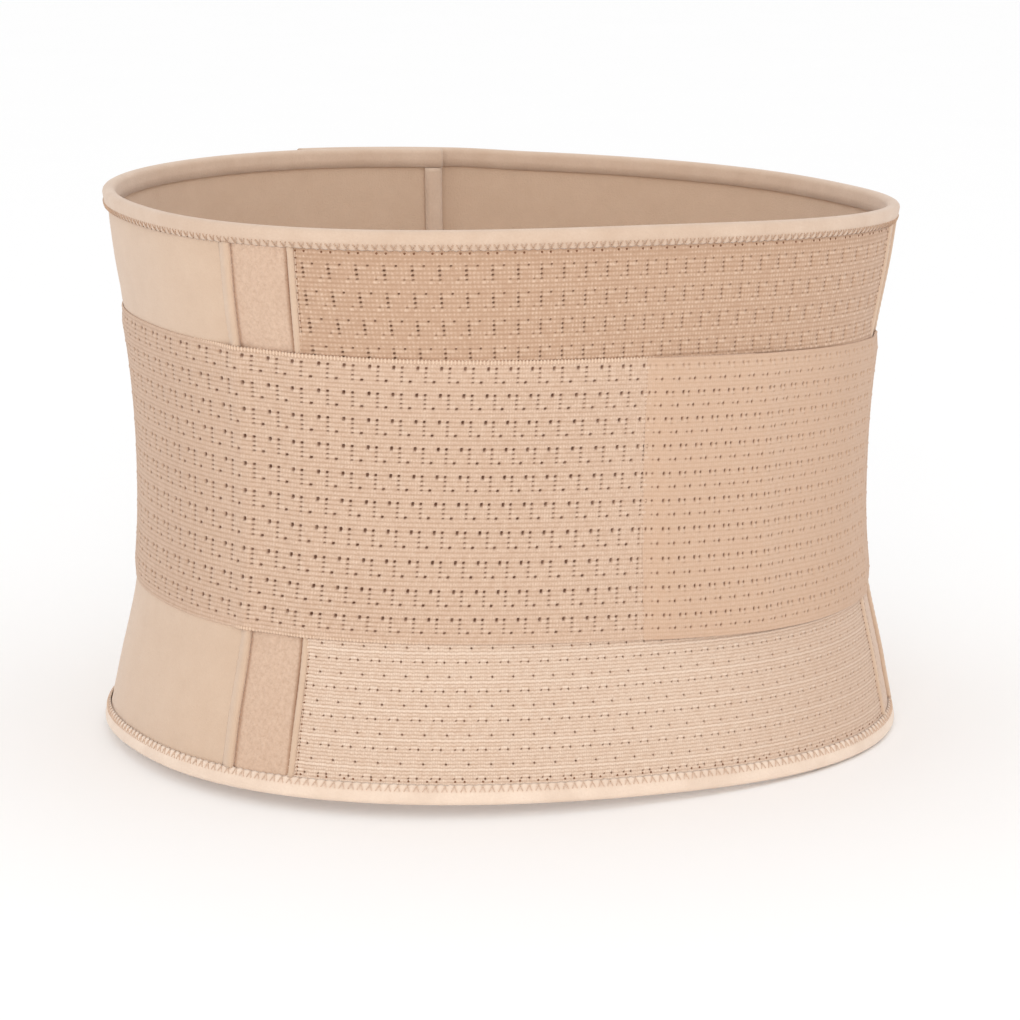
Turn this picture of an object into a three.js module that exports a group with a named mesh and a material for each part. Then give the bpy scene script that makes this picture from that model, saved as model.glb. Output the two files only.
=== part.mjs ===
// Abdominal binder: an elastic support belt with two pull straps, closed as it is worn.
// Millimetres. +Z is up and the wearer faces +Y, so the middle of the back is at -Y.
// The origin is the middle of the waist opening, half way up the belt.
// A place round the waist is a distance along the inner waist line from the middle of the back,
// positive towards the wearer's right (+X).
import * as THREE from "three";

// The opening for the waist
const WAIST_WIDTH = 294;
const WAIST_DEPTH = 241;
const WAIST_SQUARENESS = 2.28;
const BELT_HEIGHT = 220;

// Panels, from the spine to the front
const BACK_PANEL_WIDTH = 261;
const LOOP_STRIP_WIDTH = 25.5;
const FRONT_LAP = 60;
const KNIT_WALL = 2.4;
const STRIP_WALL = 2.6;
const PANEL_WALL = 3;

// Raised welts over the seams
const PANEL_WELT_WIDTH = 3.5;
const PANEL_WELT_RISE = 1;
const KNIT_WELT_WIDTH = 3;
const KNIT_WELT_RISE = 0.8;
const WELT_FOOT = 0.3;
const WELT_CORNERS = 4;

// Edge binding: a tape folded over the edge
const TAPE_THICKNESS = 0.9;
const BINDING_WIDTH = 8;
const BINDING_ROUNDING = 2;

// Pull straps
const STRAP_WIDTH = 110;
const STRAP_WALL = 1.6;
const STRAP_LAP = 45.5;
const STRAP_RAMP = 18;
const STRAP_RAMP_MARGIN = 3;
const STRAP_BUMP_SPREAD = 5;
const TAB_LENGTH = 48;
const TAB_WALL = 1.8;
const TAB_ROUNDING = 26;
const TAB_TO_FRONT = 74;

// Front closure
const LAP_RAMP = 34;
const HOOK_MARGIN = 3;

const CLEARANCE = 0.3;

// Facets
const ANGLE_STEP = THREE.MathUtils.degToRad(6);
const PANEL_ROWS = 12;
const STRAP_ROWS = 6;

// The waist at even heights from below to above the belt:
// height as a share of BELT_HEIGHT, width of WAIST_WIDTH and depth of WAIST_DEPTH.
const WAIST_SECTIONS = [
  { height: -0.6, width: 1.121, depth: 1.161 },
  { height: -0.4, width: 1.071, depth: 1.095 },
  { height: -0.2, width: 1.009, depth: 1.02 },
  { height: 0, width: 1, depth: 1 },
  { height: 0.2, width: 1.022, depth: 1.01 },
  { height: 0.4, width: 1.074, depth: 1.049 },
  { height: 0.6, width: 1.104, depth: 1.066 },
];

// How high each edge runs round the waist, as shares of the size that it follows: its mean level,
// its rise at the back, its rise on the wearer's right, and two waves that go round twice.
const EDGES = {
  beltTop: { size: BELT_HEIGHT, level: 0.501, back: -0.002, right: -0.0185, saddle: 0.0086, twist: 0.0022 },
  beltBottom: { size: BELT_HEIGHT, level: -0.4955, back: -0.009, right: -0.003, saddle: 0.003, twist: -0.009 },
  strapTop: { size: STRAP_WIDTH, level: 0.5215, back: 0.017, right: -0.0765, saddle: 0.009, twist: 0.016 },
  strapBottom: { size: STRAP_WIDTH, level: -0.436, back: -0.044, right: -0.0165, saddle: 0.018, twist: -0.024 },
};

const knitFabric = fabric(0xdcba98);
const loopFabric = fabric(0xd3ab8b);
const laminate = fabric(0xdfc2a7);
const tape = fabric(0xe5cab0);
const strapFabric = fabric(0xdbb897);
const hookTape = fabric(0xcfae90);

function fabric(color) {
  return new THREE.MeshStandardMaterial({ color, roughness: 0.92, metalness: 0 });
}

function edgeHeight(edge, angle) {
  const first = edge.back * Math.cos(angle) + edge.right * Math.sin(angle);
  const second = edge.saddle * Math.cos(2 * angle) + edge.twist * Math.sin(2 * angle);
  return edge.size * (edge.level + first + second);
}

// A uniform Catmull-Rom curve through one column of the waist table.
function waistShare(column, height) {
  const last = WAIST_SECTIONS.length - 1;
  const span = WAIST_SECTIONS[last].height - WAIST_SECTIONS[0].height;
  const along = ((height - WAIST_SECTIONS[0].height) / span) * last;
  const row = THREE.MathUtils.clamp(Math.floor(along), 0, last - 1);
  const value = (index) => WAIST_SECTIONS[THREE.MathUtils.clamp(index, 0, last)][column];
  const t = along - row;
  const before = value(row - 1);
  const start = value(row);
  const end = value(row + 1);
  const after = value(row + 2);
  const slopeIn = (end - before) / 2;
  const slopeOut = (after - start) / 2;
  const square = 3 * (end - start) - 2 * slopeIn - slopeOut;
  const cube = 2 * (start - end) + slopeIn + slopeOut;
  return start + slopeIn * t + square * t * t + cube * t * t * t;
}

// A point that stands off the waist: angle round from the middle of the back, height, distance out.
function waistPoint(angle, z, offset) {
  const height = z / BELT_HEIGHT;
  const halfWidth = (WAIST_WIDTH / 2) * waistShare("width", height) + offset;
  const halfDepth = (WAIST_DEPTH / 2) * waistShare("depth", height) + offset;
  const across = Math.abs(Math.sin(angle) / halfWidth) ** WAIST_SQUARENESS;
  const along = Math.abs(Math.cos(angle) / halfDepth) ** WAIST_SQUARENESS;
  const radius = (across + along) ** (-1 / WAIST_SQUARENESS);
  return new THREE.Vector3(radius * Math.sin(angle), -radius * Math.cos(angle), z);
}

// Distances along the inner waist line, from the middle of the back to the middle of the front.
const ARC_SAMPLES = 720;
const arcLengths = [0];
for (let i = 1; i <= ARC_SAMPLES; i += 1) {
  const from = waistPoint((Math.PI * (i - 1)) / ARC_SAMPLES, 0, 0);
  const to = waistPoint((Math.PI * i) / ARC_SAMPLES, 0, 0);
  arcLengths.push(arcLengths[i - 1] + from.distanceTo(to));
}
const HALF_WAIST = arcLengths[ARC_SAMPLES];

// The angle of a place on the waist line. Past the middle of the front it runs on round.
function angleAt(place) {
  const distance = Math.abs(place);
  const side = Math.sign(place);
  if (distance > HALF_WAIST) return side * (2 * Math.PI - angleAt(2 * HALF_WAIST - distance));
  let i = 1;
  while (i < ARC_SAMPLES && arcLengths[i] < distance) i += 1;
  const share = (distance - arcLengths[i - 1]) / (arcLengths[i] - arcLengths[i - 1]);
  return (side * Math.PI * (i - 1 + share)) / ARC_SAMPLES;
}

// The place of an angle: the way back from angleAt.
function placeAt(angle) {
  const turned = Math.abs(angle);
  const side = Math.sign(angle);
  if (turned > Math.PI) return side * (2 * HALF_WAIST - placeAt(2 * Math.PI - turned));
  const along = (turned / Math.PI) * ARC_SAMPLES;
  const i = Math.min(Math.floor(along), ARC_SAMPLES - 1);
  return side * (arcLengths[i] + (along - i) * (arcLengths[i + 1] - arcLengths[i]));
}

const knitSeam = BACK_PANEL_WIDTH / 2;
const panelSeam = knitSeam + LOOP_STRIP_WIDTH;
const frontEnd = HALF_WAIST + FRONT_LAP / 2;
const tabFront = HALF_WAIST - TAB_TO_FRONT;
const strapFront = tabFront - TAB_LENGTH;

// What lies on what, as distances out from the waist
const tapeOutside = PANEL_WALL + CLEARANCE + TAPE_THICKNESS;
const tapeInside = -CLEARANCE - TAPE_THICKNESS;
const strapSeat = PANEL_WALL + CLEARANCE;
const lapLift = tapeOutside + CLEARANCE - tapeInside;
const panelWeltSeat = Math.max(PANEL_WALL, STRIP_WALL) + CLEARANCE;
const knitWeltSeat = Math.max(KNIT_WALL, STRIP_WALL) + CLEARANCE;

// The wearer's right front end lies over the left one, so it rises before it meets it.
function frontLift(place) {
  const rampEnd = HALF_WAIST - FRONT_LAP / 2 - CLEARANCE - TAPE_THICKNESS - HOOK_MARGIN;
  return lapLift * THREE.MathUtils.smoothstep(place, rampEnd - LAP_RAMP, rampEnd);
}

// How far a strap rises over one welt beneath it.
function riseOver(place, seam, crest) {
  const distance = (Math.abs(place) - seam) / STRAP_BUMP_SPREAD;
  return Math.max(0, crest + CLEARANCE - strapSeat) * Math.exp(-distance * distance);
}

function weltLift(place) {
  const overPanelWelt = riseOver(place, panelSeam, panelWeltSeat + WELT_FOOT + PANEL_WELT_RISE);
  const overKnitWelt = riseOver(place, knitSeam, knitWeltSeat + WELT_FOOT + KNIT_WELT_RISE);
  return Math.max(overPanelWelt, overKnitWelt);
}

// The right strap lies over the end of the left one at the back, and comes down beyond it.
const strapRampStart = STRAP_LAP + STRAP_RAMP_MARGIN;
function strapLift(place) {
  const down = THREE.MathUtils.smoothstep(place, strapRampStart, strapRampStart + STRAP_RAMP);
  return (STRAP_WALL + CLEARANCE) * (1 - down);
}

// The angles that every piece has a section at, so that the facets of one lie along those of the next:
// even steps, and the seams and binding edges.
const sharedAngles = [-frontEnd, -panelSeam, -knitSeam, knitSeam, panelSeam, frontEnd]
  .flatMap((place) => [place - CLEARANCE, place + CLEARANCE])
  .concat([BINDING_WIDTH - frontEnd, frontEnd - BINDING_WIDTH])
  .map(angleAt);
const mostSteps = Math.ceil((1.5 * Math.PI) / ANGLE_STEP);
for (let step = -mostSteps; step <= mostSteps; step += 1) {
  sharedAngles.push(step * ANGLE_STEP);
}

// The angles at which a piece has a section: its two ends, the shared angles between, and its own extras.
function stations(from, to, extras = []) {
  const first = angleAt(from);
  const last = angleAt(to);
  const least = ANGLE_STEP / 12;
  const kept = [first];
  for (const angle of sharedAngles.concat(extras.map(angleAt)).sort((a, b) => a - b)) {
    if (angle - kept.at(-1) > least && last - angle > least) kept.push(angle);
  }
  kept.push(last);
  return kept;
}

// The triangles that fill one flat outline, whose points stand in space.
function capFaces(points) {
  const normal = new THREE.Vector3();
  points.forEach((point, k) => normal.add(point.clone().cross(points[(k + 1) % points.length])));
  const turn = new THREE.Quaternion().setFromUnitVectors(normal.normalize(), new THREE.Vector3(0, 0, 1));
  const flat = points.map((point) => point.clone().applyQuaternion(turn));
  return THREE.ShapeUtils.triangulateShape(flat.map((point) => new THREE.Vector2(point.x, point.y)), []);
}

// A closed body lofted through flat anticlockwise outlines of the same number of points.
function loftedMesh(name, outlines, stand, material) {
  const around = outlines[0].length;
  const points = outlines.flatMap((outline, i) => outline.map((point) => stand(i, point)));
  const faces = [];
  for (let i = 0; i + 1 < outlines.length; i += 1) {
    for (let k = 0; k < around; k += 1) {
      const near = i * around + k;
      const nearNext = i * around + ((k + 1) % around);
      faces.push([near, near + around, nearNext + around]);
      faces.push([near, nearNext + around, nearNext]);
    }
  }
  const lastRing = (outlines.length - 1) * around;
  faces.push(...capFaces(points.slice(0, around)));
  for (const [a, b, c] of capFaces(points.slice(lastRing))) {
    faces.push([lastRing + c, lastRing + b, lastRing + a]);
  }
  const geometry = new THREE.BufferGeometry();
  geometry.setAttribute("position", new THREE.Float32BufferAttribute(points.flatMap((p) => p.toArray()), 3));
  geometry.setIndex(faces.flat());
  geometry.computeVertexNormals();
  const mesh = new THREE.Mesh(geometry, material);
  mesh.name = name;
  return mesh;
}

// A piece that runs round the waist: its outline is (distance out, height) at each station.
function roundTheWaist(name, angles, outlineAt, material) {
  const outlines = angles.map((angle) => outlineAt(angle));
  return loftedMesh(name, outlines, (i, point) => waistPoint(angles[i], point.y, point.x), material);
}

// A piece that runs up the belt: its outline is (angle, distance out), and the same at each height.
function upTheBelt(name, outline, bottom, top, rows, material) {
  const outlines = Array.from({ length: rows + 1 }, () => outline);
  const stand = (i, point) => {
    const z = THREE.MathUtils.lerp(bottom(point.x), top(point.x), i / rows);
    return waistPoint(point.x, z, point.y);
  };
  return loftedMesh(name, outlines, stand, material);
}

// A sheet of fabric with even rows: up its outer face and down its inner face.
function sheetOutline(bottom, top, inside, outside, rows) {
  const outline = [];
  for (let j = 0; j <= rows; j += 1) {
    outline.push(new THREE.Vector2(outside, THREE.MathUtils.lerp(bottom, top, j / rows)));
  }
  for (let j = rows; j >= 0; j -= 1) {
    outline.push(new THREE.Vector2(inside, THREE.MathUtils.lerp(bottom, top, j / rows)));
  }
  return outline;
}

const panelBottom = (angle) => edgeHeight(EDGES.beltBottom, angle) + TAPE_THICKNESS + CLEARANCE;
const panelTop = (angle) => edgeHeight(EDGES.beltTop, angle) - TAPE_THICKNESS - CLEARANCE;
const insetBottom = (angle) => edgeHeight(EDGES.beltBottom, angle) + BINDING_WIDTH + CLEARANCE;
const insetTop = (angle) => edgeHeight(EDGES.beltTop, angle) - BINDING_WIDTH - CLEARANCE;

// A panel of the belt between two places, with half the clearance at each seam.
function panel(name, from, to, wall, material) {
  const angles = stations(from, to);
  const outlineAt = (angle) => {
    const lift = frontLift(placeAt(angle));
    return sheetOutline(panelBottom(angle), panelTop(angle), lift, lift + wall, PANEL_ROWS);
  };
  return roundTheWaist(name, angles, outlineAt, material);
}

function backPanel() {
  const end = knitSeam - CLEARANCE / 2;
  return panel("back_panel", -end, end, KNIT_WALL, knitFabric);
}

function loopStrip(sideName, side) {
  const ends = [side * (knitSeam + CLEARANCE / 2), side * (panelSeam - CLEARANCE / 2)];
  return panel(`loop_strip_${sideName}`, Math.min(...ends), Math.max(...ends), STRIP_WALL, loopFabric);
}

function sidePanel(sideName, side) {
  const ends = [side * (panelSeam + CLEARANCE / 2), side * (frontEnd - TAPE_THICKNESS - CLEARANCE)];
  return panel(`side_panel_${sideName}`, Math.min(...ends), Math.max(...ends), PANEL_WALL, laminate);
}

// A half-round welt that stands on a seam, from binding to binding.
function welt(name, seam, width, seat, rise) {
  const outline = [];
  for (let k = 0; k <= WELT_CORNERS; k += 1) {
    const turned = (Math.PI * k) / WELT_CORNERS;
    const place = seam + (Math.cos(turned) * width) / 2;
    outline.push(new THREE.Vector2(angleAt(place), seat + WELT_FOOT + rise * Math.sin(turned)));
  }
  outline.push(new THREE.Vector2(angleAt(seam - width / 2), seat));
  outline.push(new THREE.Vector2(angleAt(seam + width / 2), seat));
  return upTheBelt(name, outline, insetBottom, insetTop, PANEL_ROWS, laminate);
}

// The folded tape in section. It opens away from the edge, towards the middle of the belt.
// Each corner is (distance out, distance back from the edge).
function tapeSection(lift) {
  const outside = lift + tapeOutside;
  const inside = lift + tapeInside;
  const round = BINDING_ROUNDING / 2;
  return [
    [outside, BINDING_WIDTH],
    [outside, BINDING_ROUNDING],
    [outside - round, round / 2],
    [(outside + inside) / 2, 0],
    [inside + round, round / 2],
    [inside, BINDING_ROUNDING],
    [inside, BINDING_WIDTH],
    [inside + TAPE_THICKNESS, BINDING_WIDTH],
    [inside + TAPE_THICKNESS, TAPE_THICKNESS],
    [outside - TAPE_THICKNESS, TAPE_THICKNESS],
    [outside - TAPE_THICKNESS, BINDING_WIDTH],
  ];
}

function edgeBinding(name, edge, upwards) {
  const outlineAt = (angle) => {
    const corners = tapeSection(frontLift(placeAt(angle)));
    const z = edgeHeight(edge, angle);
    const outline = corners.map(([out, back]) => new THREE.Vector2(out, z - upwards * back));
    return upwards > 0 ? outline : outline.reverse();
  };
  return roundTheWaist(name, stations(-frontEnd, frontEnd), outlineAt, tape);
}

// The tape up a front end, between the top and bottom bindings.
function endBinding(sideName, side) {
  const corners = tapeSection(frontLift(side * frontEnd));
  const outline = corners.map(([out, back]) => new THREE.Vector2(angleAt(side * (frontEnd - back)), out));
  if (side > 0) outline.reverse();
  return upTheBelt(`end_binding_${sideName}`, outline, insetBottom, insetTop, PANEL_ROWS, tape);
}

const strapTop = (angle) => edgeHeight(EDGES.strapTop, angle);
const strapBottom = (angle) => edgeHeight(EDGES.strapBottom, angle);

// Sections close enough to follow the rise over the two welts on one side.
function weltStations(side) {
  const places = [-2, -1, -0.4, 0, 0.4, 1, 2].map((step) => step * STRAP_BUMP_SPREAD);
  return [knitSeam, panelSeam].flatMap((seam) => places.map((place) => side * (seam + place)));
}

// One strap's fabric between two places, over whatever lies beneath it.
function strap(name, from, to, extras, liftAt) {
  const angles = stations(from, to, extras);
  const outlineAt = (angle) => {
    const seat = strapSeat + liftAt(placeAt(angle));
    return sheetOutline(strapBottom(angle), strapTop(angle), seat, seat + STRAP_WALL, STRAP_ROWS);
  };
  return roundTheWaist(name, angles, outlineAt, strapFabric);
}

function strapLeft() {
  return strap("strap_left", -strapFront + CLEARANCE, STRAP_LAP, weltStations(-1), weltLift);
}

function strapRight() {
  const rampPlaces = [0, 0.25, 0.5, 0.75, 1].map((share) => strapRampStart + share * STRAP_RAMP);
  const extras = [STRAP_LAP, ...rampPlaces, ...weltStations(1)];
  const liftAt = (place) => weltLift(place) + strapLift(place);
  return strap("strap_right", 0, strapFront - CLEARANCE, extras, liftAt);
}

// The hook tab that carries a strap's front end. Its front corners are round.
function strapTab(sideName, side) {
  const cornerPlaces = [1, 0.75, 0.5, 0.25, 0.08].map((share) => side * (tabFront - share * TAB_ROUNDING));
  const ends = [side * strapFront, side * tabFront];
  const angles = stations(Math.min(...ends), Math.max(...ends), cornerPlaces);
  const outlineAt = (angle) => {
    const toFront = tabFront - Math.abs(placeAt(angle));
    const turned = THREE.MathUtils.clamp(1 - toFront / TAB_ROUNDING, 0, 1);
    const inset = TAB_ROUNDING * (1 - Math.sqrt(1 - turned * turned));
    const bottom = strapBottom(angle) + inset;
    const top = strapTop(angle) - inset;
    return sheetOutline(bottom, top, strapSeat, strapSeat + TAB_WALL, STRAP_ROWS);
  };
  return roundTheWaist(`strap_tab_${sideName}`, angles, outlineAt, hookTape);
}

// The hook fastener between the lapped front ends, sewn inside the upper one.
function frontHookStrip() {
  const reach = FRONT_LAP / 2 - BINDING_WIDTH - HOOK_MARGIN;
  const angles = stations(HALF_WAIST - reach, HALF_WAIST + reach);
  const outlineAt = (angle) => {
    const bottom = insetBottom(angle) + HOOK_MARGIN;
    const top = insetTop(angle) - HOOK_MARGIN;
    return sheetOutline(bottom, top, PANEL_WALL + CLEARANCE, lapLift - CLEARANCE, PANEL_ROWS);
  };
  return roundTheWaist("front_hook_strip", angles, outlineAt, hookTape);
}

function knitWelt(sideName, side) {
  return welt(`knit_welt_${sideName}`, side * knitSeam, KNIT_WELT_WIDTH, knitWeltSeat, KNIT_WELT_RISE);
}

function panelWelt(sideName, side) {
  return welt(`panel_welt_${sideName}`, side * panelSeam, PANEL_WELT_WIDTH, panelWeltSeat, PANEL_WELT_RISE);
}

const binder = new THREE.Group();
binder.add(backPanel());
for (const [sideName, side] of [["left", -1], ["right", 1]]) {
  binder.add(loopStrip(sideName, side));
  binder.add(sidePanel(sideName, side));
  binder.add(knitWelt(sideName, side));
  binder.add(panelWelt(sideName, side));
  binder.add(endBinding(sideName, side));
  binder.add(strapTab(sideName, side));
}
binder.add(edgeBinding("top_binding", EDGES.beltTop, 1));
binder.add(edgeBinding("bottom_binding", EDGES.beltBottom, -1));
binder.add(strapLeft());
binder.add(strapRight());
binder.add(frontHookStrip());

export default binder;
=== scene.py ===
# Abdominal binder: an elastic support belt with two pull straps, closed as it is worn.
# Metres. +Z is up and the wearer faces +Y, so the middle of the back is at -Y.
import math

import bmesh
import bpy
import numpy as np
from mathutils import Matrix, Vector


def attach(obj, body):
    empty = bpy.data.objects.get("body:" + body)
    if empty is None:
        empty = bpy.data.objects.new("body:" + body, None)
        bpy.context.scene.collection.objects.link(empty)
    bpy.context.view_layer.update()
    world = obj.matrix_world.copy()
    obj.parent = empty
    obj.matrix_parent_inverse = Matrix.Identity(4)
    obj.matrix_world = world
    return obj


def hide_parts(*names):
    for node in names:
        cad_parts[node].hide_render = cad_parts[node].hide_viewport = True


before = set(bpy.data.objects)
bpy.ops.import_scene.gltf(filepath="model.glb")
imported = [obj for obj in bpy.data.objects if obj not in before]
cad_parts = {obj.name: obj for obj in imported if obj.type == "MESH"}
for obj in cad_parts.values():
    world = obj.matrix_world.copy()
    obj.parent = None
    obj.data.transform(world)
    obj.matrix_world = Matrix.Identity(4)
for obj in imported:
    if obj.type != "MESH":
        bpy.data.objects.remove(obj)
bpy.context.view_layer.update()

# The view
# The camera looks at the back of the belt from its left side and a little above it, with the
# small roll of the picture, as far off as a long portrait lens needs.
CAMERA_TURN = math.radians(-26.789)
CAMERA_RISE = math.radians(12.177)
CAMERA_ROLL = math.radians(-0.525)
CAMERA_DISTANCE = 1.56561
CAMERA_LENS = 132.66
CAMERA_AIM = (0.002789, 0, -0.024421)

turn = Matrix.Rotation(CAMERA_TURN, 3, "Z")
aim = turn @ Vector(CAMERA_AIM)
back = turn @ Vector((0, -math.cos(CAMERA_RISE), math.sin(CAMERA_RISE)))
level_right = Vector((0, 0, 1)).cross(back).normalized()
level_up = back.cross(level_right)
right = level_right * math.cos(CAMERA_ROLL) - level_up * math.sin(CAMERA_ROLL)
up = level_right * math.sin(CAMERA_ROLL) + level_up * math.cos(CAMERA_ROLL)
lens = bpy.data.cameras.new("camera")
lens.lens = CAMERA_LENS
lens.sensor_width = 36
lens.clip_start = 0.05
lens.clip_end = 50
camera = bpy.data.objects.new("camera", lens)
camera.matrix_world = Matrix.Translation(aim + back * CAMERA_DISTANCE) @ Matrix(
    [[right[i], up[i], back[i]] for i in range(3)]
).to_4x4()
bpy.context.scene.collection.objects.link(camera)
bpy.context.scene.camera = camera
bpy.context.scene.view_settings.view_transform = "Standard"

# Back panel
# Two stretches of perforated elastic knit that meet under the pull straps: small pinholes above,
# rows of larger holes in wavy ribs below. The knit hugs the waist, so its form is the waist's.
MM = 0.001
WAIST_WIDTH = 0.294
WAIST_DEPTH = 0.241
WAIST_SQUARENESS = 2.28
BELT_HEIGHT = 0.22
STRAP_WIDTH = 0.11
BINDING_WIDTH = 0.008
TAPE_THICKNESS = 0.0009
CLEARANCE = 0.0003
KNIT_SEAM = 0.1305
KNIT_WALL = 0.0024
KNIT_DEPTH = 0.0023
KNIT_RISE = 0.0006
KNIT_RISE_REACH = 0.012
LEAN_MIDDLE = 0.143
LEAN_REACH = 0.05
SPARE_COLUMN = 0.008
# Sections of the waist from the lowest up: height, share of the width, share of the depth
WAIST_SECTIONS = np.array([
    (-0.6, 1.121, 1.161),
    (-0.4, 1.071, 1.095),
    (-0.2, 1.009, 1.02),
    (0.0, 1.0, 1.0),
    (0.2, 1.022, 1.01),
    (0.4, 1.074, 1.049),
    (0.6, 1.104, 1.066),
])
# Each edge: the size it follows, then its shares of it: level, at the back, at the right, saddle
# and twist
EDGES = {
    "belt_top": (BELT_HEIGHT, 0.501, -0.002, -0.0185, 0.0086, 0.0022),
    "belt_bottom": (BELT_HEIGHT, -0.4955, -0.009, -0.003, 0.003, -0.009),
    "strap_top": (STRAP_WIDTH, 0.5215, 0.017, -0.0765, 0.009, 0.016),
    "strap_bottom": (STRAP_WIDTH, -0.436, -0.044, -0.0165, 0.018, -0.024),
}


def edge_height(edge, angle):
    """How high an edge of the belt or of a strap runs at an angle round the waist."""
    size, level, at_back, at_right, saddle, twist = EDGES[edge]
    once = at_back * np.cos(angle) + at_right * np.sin(angle)
    twice = saddle * np.cos(2 * angle) + twist * np.sin(2 * angle)
    return size * (level + once + twice)


def waist_share(column, height):
    """A smooth curve through one column of the waist's sections."""
    rows = WAIST_SECTIONS[:, column]
    first, last = WAIST_SECTIONS[0, 0], WAIST_SECTIONS[-1, 0]
    along = (height - first) / (last - first) * (len(rows) - 1)
    row = np.clip(np.floor(along).astype(int), 0, len(rows) - 2)
    t = along - row
    padded = np.concatenate([rows[:1], rows, rows[-1:]])
    before, start, end, after = (padded[row + k] for k in range(4))
    slope_in, slope_out = (end - before) / 2, (after - start) / 2
    square = 3 * (end - start) - 2 * slope_in - slope_out
    cube = 2 * (start - end) + slope_in + slope_out
    return start + slope_in * t + square * t**2 + cube * t**3


def waist_point(angle, z, out):
    """Points that stand off the waist: angle from the middle of the back, height, distance out."""
    angle, z, out = np.broadcast_arrays(angle, z, out)
    half_width = WAIST_WIDTH / 2 * waist_share(1, z / BELT_HEIGHT) + out
    half_depth = WAIST_DEPTH / 2 * waist_share(2, z / BELT_HEIGHT) + out
    across = np.abs(np.sin(angle) / half_width) ** WAIST_SQUARENESS
    along = np.abs(np.cos(angle) / half_depth) ** WAIST_SQUARENESS
    radius = (across + along) ** (-1 / WAIST_SQUARENESS)
    return np.stack([radius * np.sin(angle), -radius * np.cos(angle), z], axis=-1)


half_turn = np.linspace(0, math.pi, 721)
waist_line = waist_point(half_turn, 0.0, 0.0)
steps = np.linalg.norm(np.diff(waist_line, axis=0), axis=1)
arc_lengths = np.concatenate([[0], np.cumsum(steps)])
HALF_WAIST = arc_lengths[-1]


def angle_at(place):
    """The angle of a place, which is a distance along the waist from the middle of the back."""
    place = np.asarray(place, float)
    far = np.abs(place) > HALF_WAIST
    near = np.where(far, 2 * HALF_WAIST - np.abs(place), np.abs(place))
    turned = np.interp(near, arc_lengths, half_turn)
    return np.sign(place) * np.where(far, 2 * math.pi - turned, turned)


def facing(place, z, out):
    """The direction that the fabric faces at each point."""
    d = 0.0005
    angle, beside = angle_at(place), angle_at(place + d)
    along = waist_point(beside, z, out) - waist_point(angle, z, out)
    upwards = waist_point(angle, z + d, out) - waist_point(angle, z, out)
    normal = np.cross(along, upwards)
    return normal / np.linalg.norm(normal, axis=-1, keepdims=True)


def smoothstep(value, low, high):
    """A share that eases from nought at low to one at high."""
    share = np.clip((value - low) / (high - low), 0, 1)
    return share * share * (3 - 2 * share)


def seam_lean(place, z):
    """How far wear draws the fabric beside the loop strips: towards the front on the left, and on
    the right towards the middle of the back low down and towards the front at the top."""
    near = np.exp(-(((np.abs(place) - LEAN_MIDDLE) / LEAN_REACH) ** 2))
    left = -0.0010 - 0.0017 * smoothstep(z, -0.11, 0.03)
    right = -0.0040 + 0.0077 * smoothstep(z, -0.12, 0.06)
    return near * np.where(place < 0, left, right)


def new_object(name, points, faces, attributes=()):
    """An object from points and faces, with a value at each point for each attribute."""
    mesh = bpy.data.meshes.new(name)
    mesh.from_pydata([tuple(p) for p in points], [], [tuple(f) for f in faces])
    for key, values in dict(attributes).items():
        values = np.asarray(values, np.float32)
        kind = "FLOAT" if values.ndim == 1 else "FLOAT_VECTOR"
        layer = mesh.attributes.new(key, kind, "POINT")
        layer.data.foreach_set("value" if values.ndim == 1 else "vector", values.ravel())
    obj = bpy.data.objects.new(name, mesh)
    bpy.context.scene.collection.objects.link(obj)
    return obj


def grid_faces(rows, columns, start=0):
    """Faces of a grid whose points run along each row in turn."""
    r, c = np.meshgrid(np.arange(rows - 1), np.arange(columns - 1), indexing="ij")
    a = (start + r * columns + c).ravel()
    return np.stack([a, a + 1, a + columns + 1, a + columns], axis=1)


def knit_tile(name, ribs, pits, groove, chevron, loops):
    """One repeat of the knit, one unit each way: ribs across it, and pits on the grooves between.
    A pit is (place across, groove from the bottom, half width, depth in mm, darkness of its painted
    shade, and how much of both its ribs share). A loop is (from, to, the rib above which groove, how
    light its painted highlight is) and stands up a little. The groove rows are marked for painted
    shade. Gives the tile, its columns and its relief along one side."""
    columns = {0.0, 1.0}
    for across, _, half, _, _, _ in pits:
        columns |= {round(across + half * share, 4) for share in (-1, -0.4, 0.4, 1)}
    xs = np.array(sorted(columns))
    ys, in_groove = [0.0], [0.0]
    for k in range(ribs):
        ys += [(k + share) / ribs for share in (0.18, 0.5, 0.82)]
        in_groove += [0.0, 1.0, 0.0]
    ys, in_groove = np.array(ys + [1.0]), np.array(in_groove + [0.0])
    z = np.repeat((-groove * in_groove)[:, None], len(xs), axis=1)
    pit = np.zeros_like(z)
    for across, k, half, depth, dark, beside in pits:
        inside = np.abs(xs - across) < half * 0.6
        row = 2 + 3 * k
        z[row, inside] = -depth
        pit[row, inside] = dark
        if beside:
            z[row - 1, inside] = z[row + 1, inside] = -depth * beside
            pit[row - 1, inside] = pit[row + 1, inside] = beside
    # Each loop also gets a pit value below nought, which the material paints as highlight.
    for start, end, k, light in loops:
        inside = (xs > start - 0.001) & (xs < end + 0.001)
        z[3 + 3 * k:5 + 3 * k, inside] += 0.14
        pit[3 + 3 * k:5 + 3 * k, inside] = -light
    x, y = np.meshgrid(xs, ys)
    wave = np.abs((x * 4) % 1 - 0.5) * 2 - 0.5
    y = y + chevron * wave * ((y > 0) & (y < 1))
    points = np.stack([x, y, z], axis=-1).reshape(-1, 3)
    # The rows in a groove are also marked for painted shade, which the knit's material lays on them.
    grooves = np.repeat(in_groove[:, None], len(xs), axis=1).ravel()
    faces = grid_faces(len(ys), len(xs))
    tile = new_object(name, points, faces, {"pit": pit.ravel(), "groove": grooves})
    side = np.stack([y[:, 0], z[:, 0]], axis=-1)
    return tile, xs, side


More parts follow.
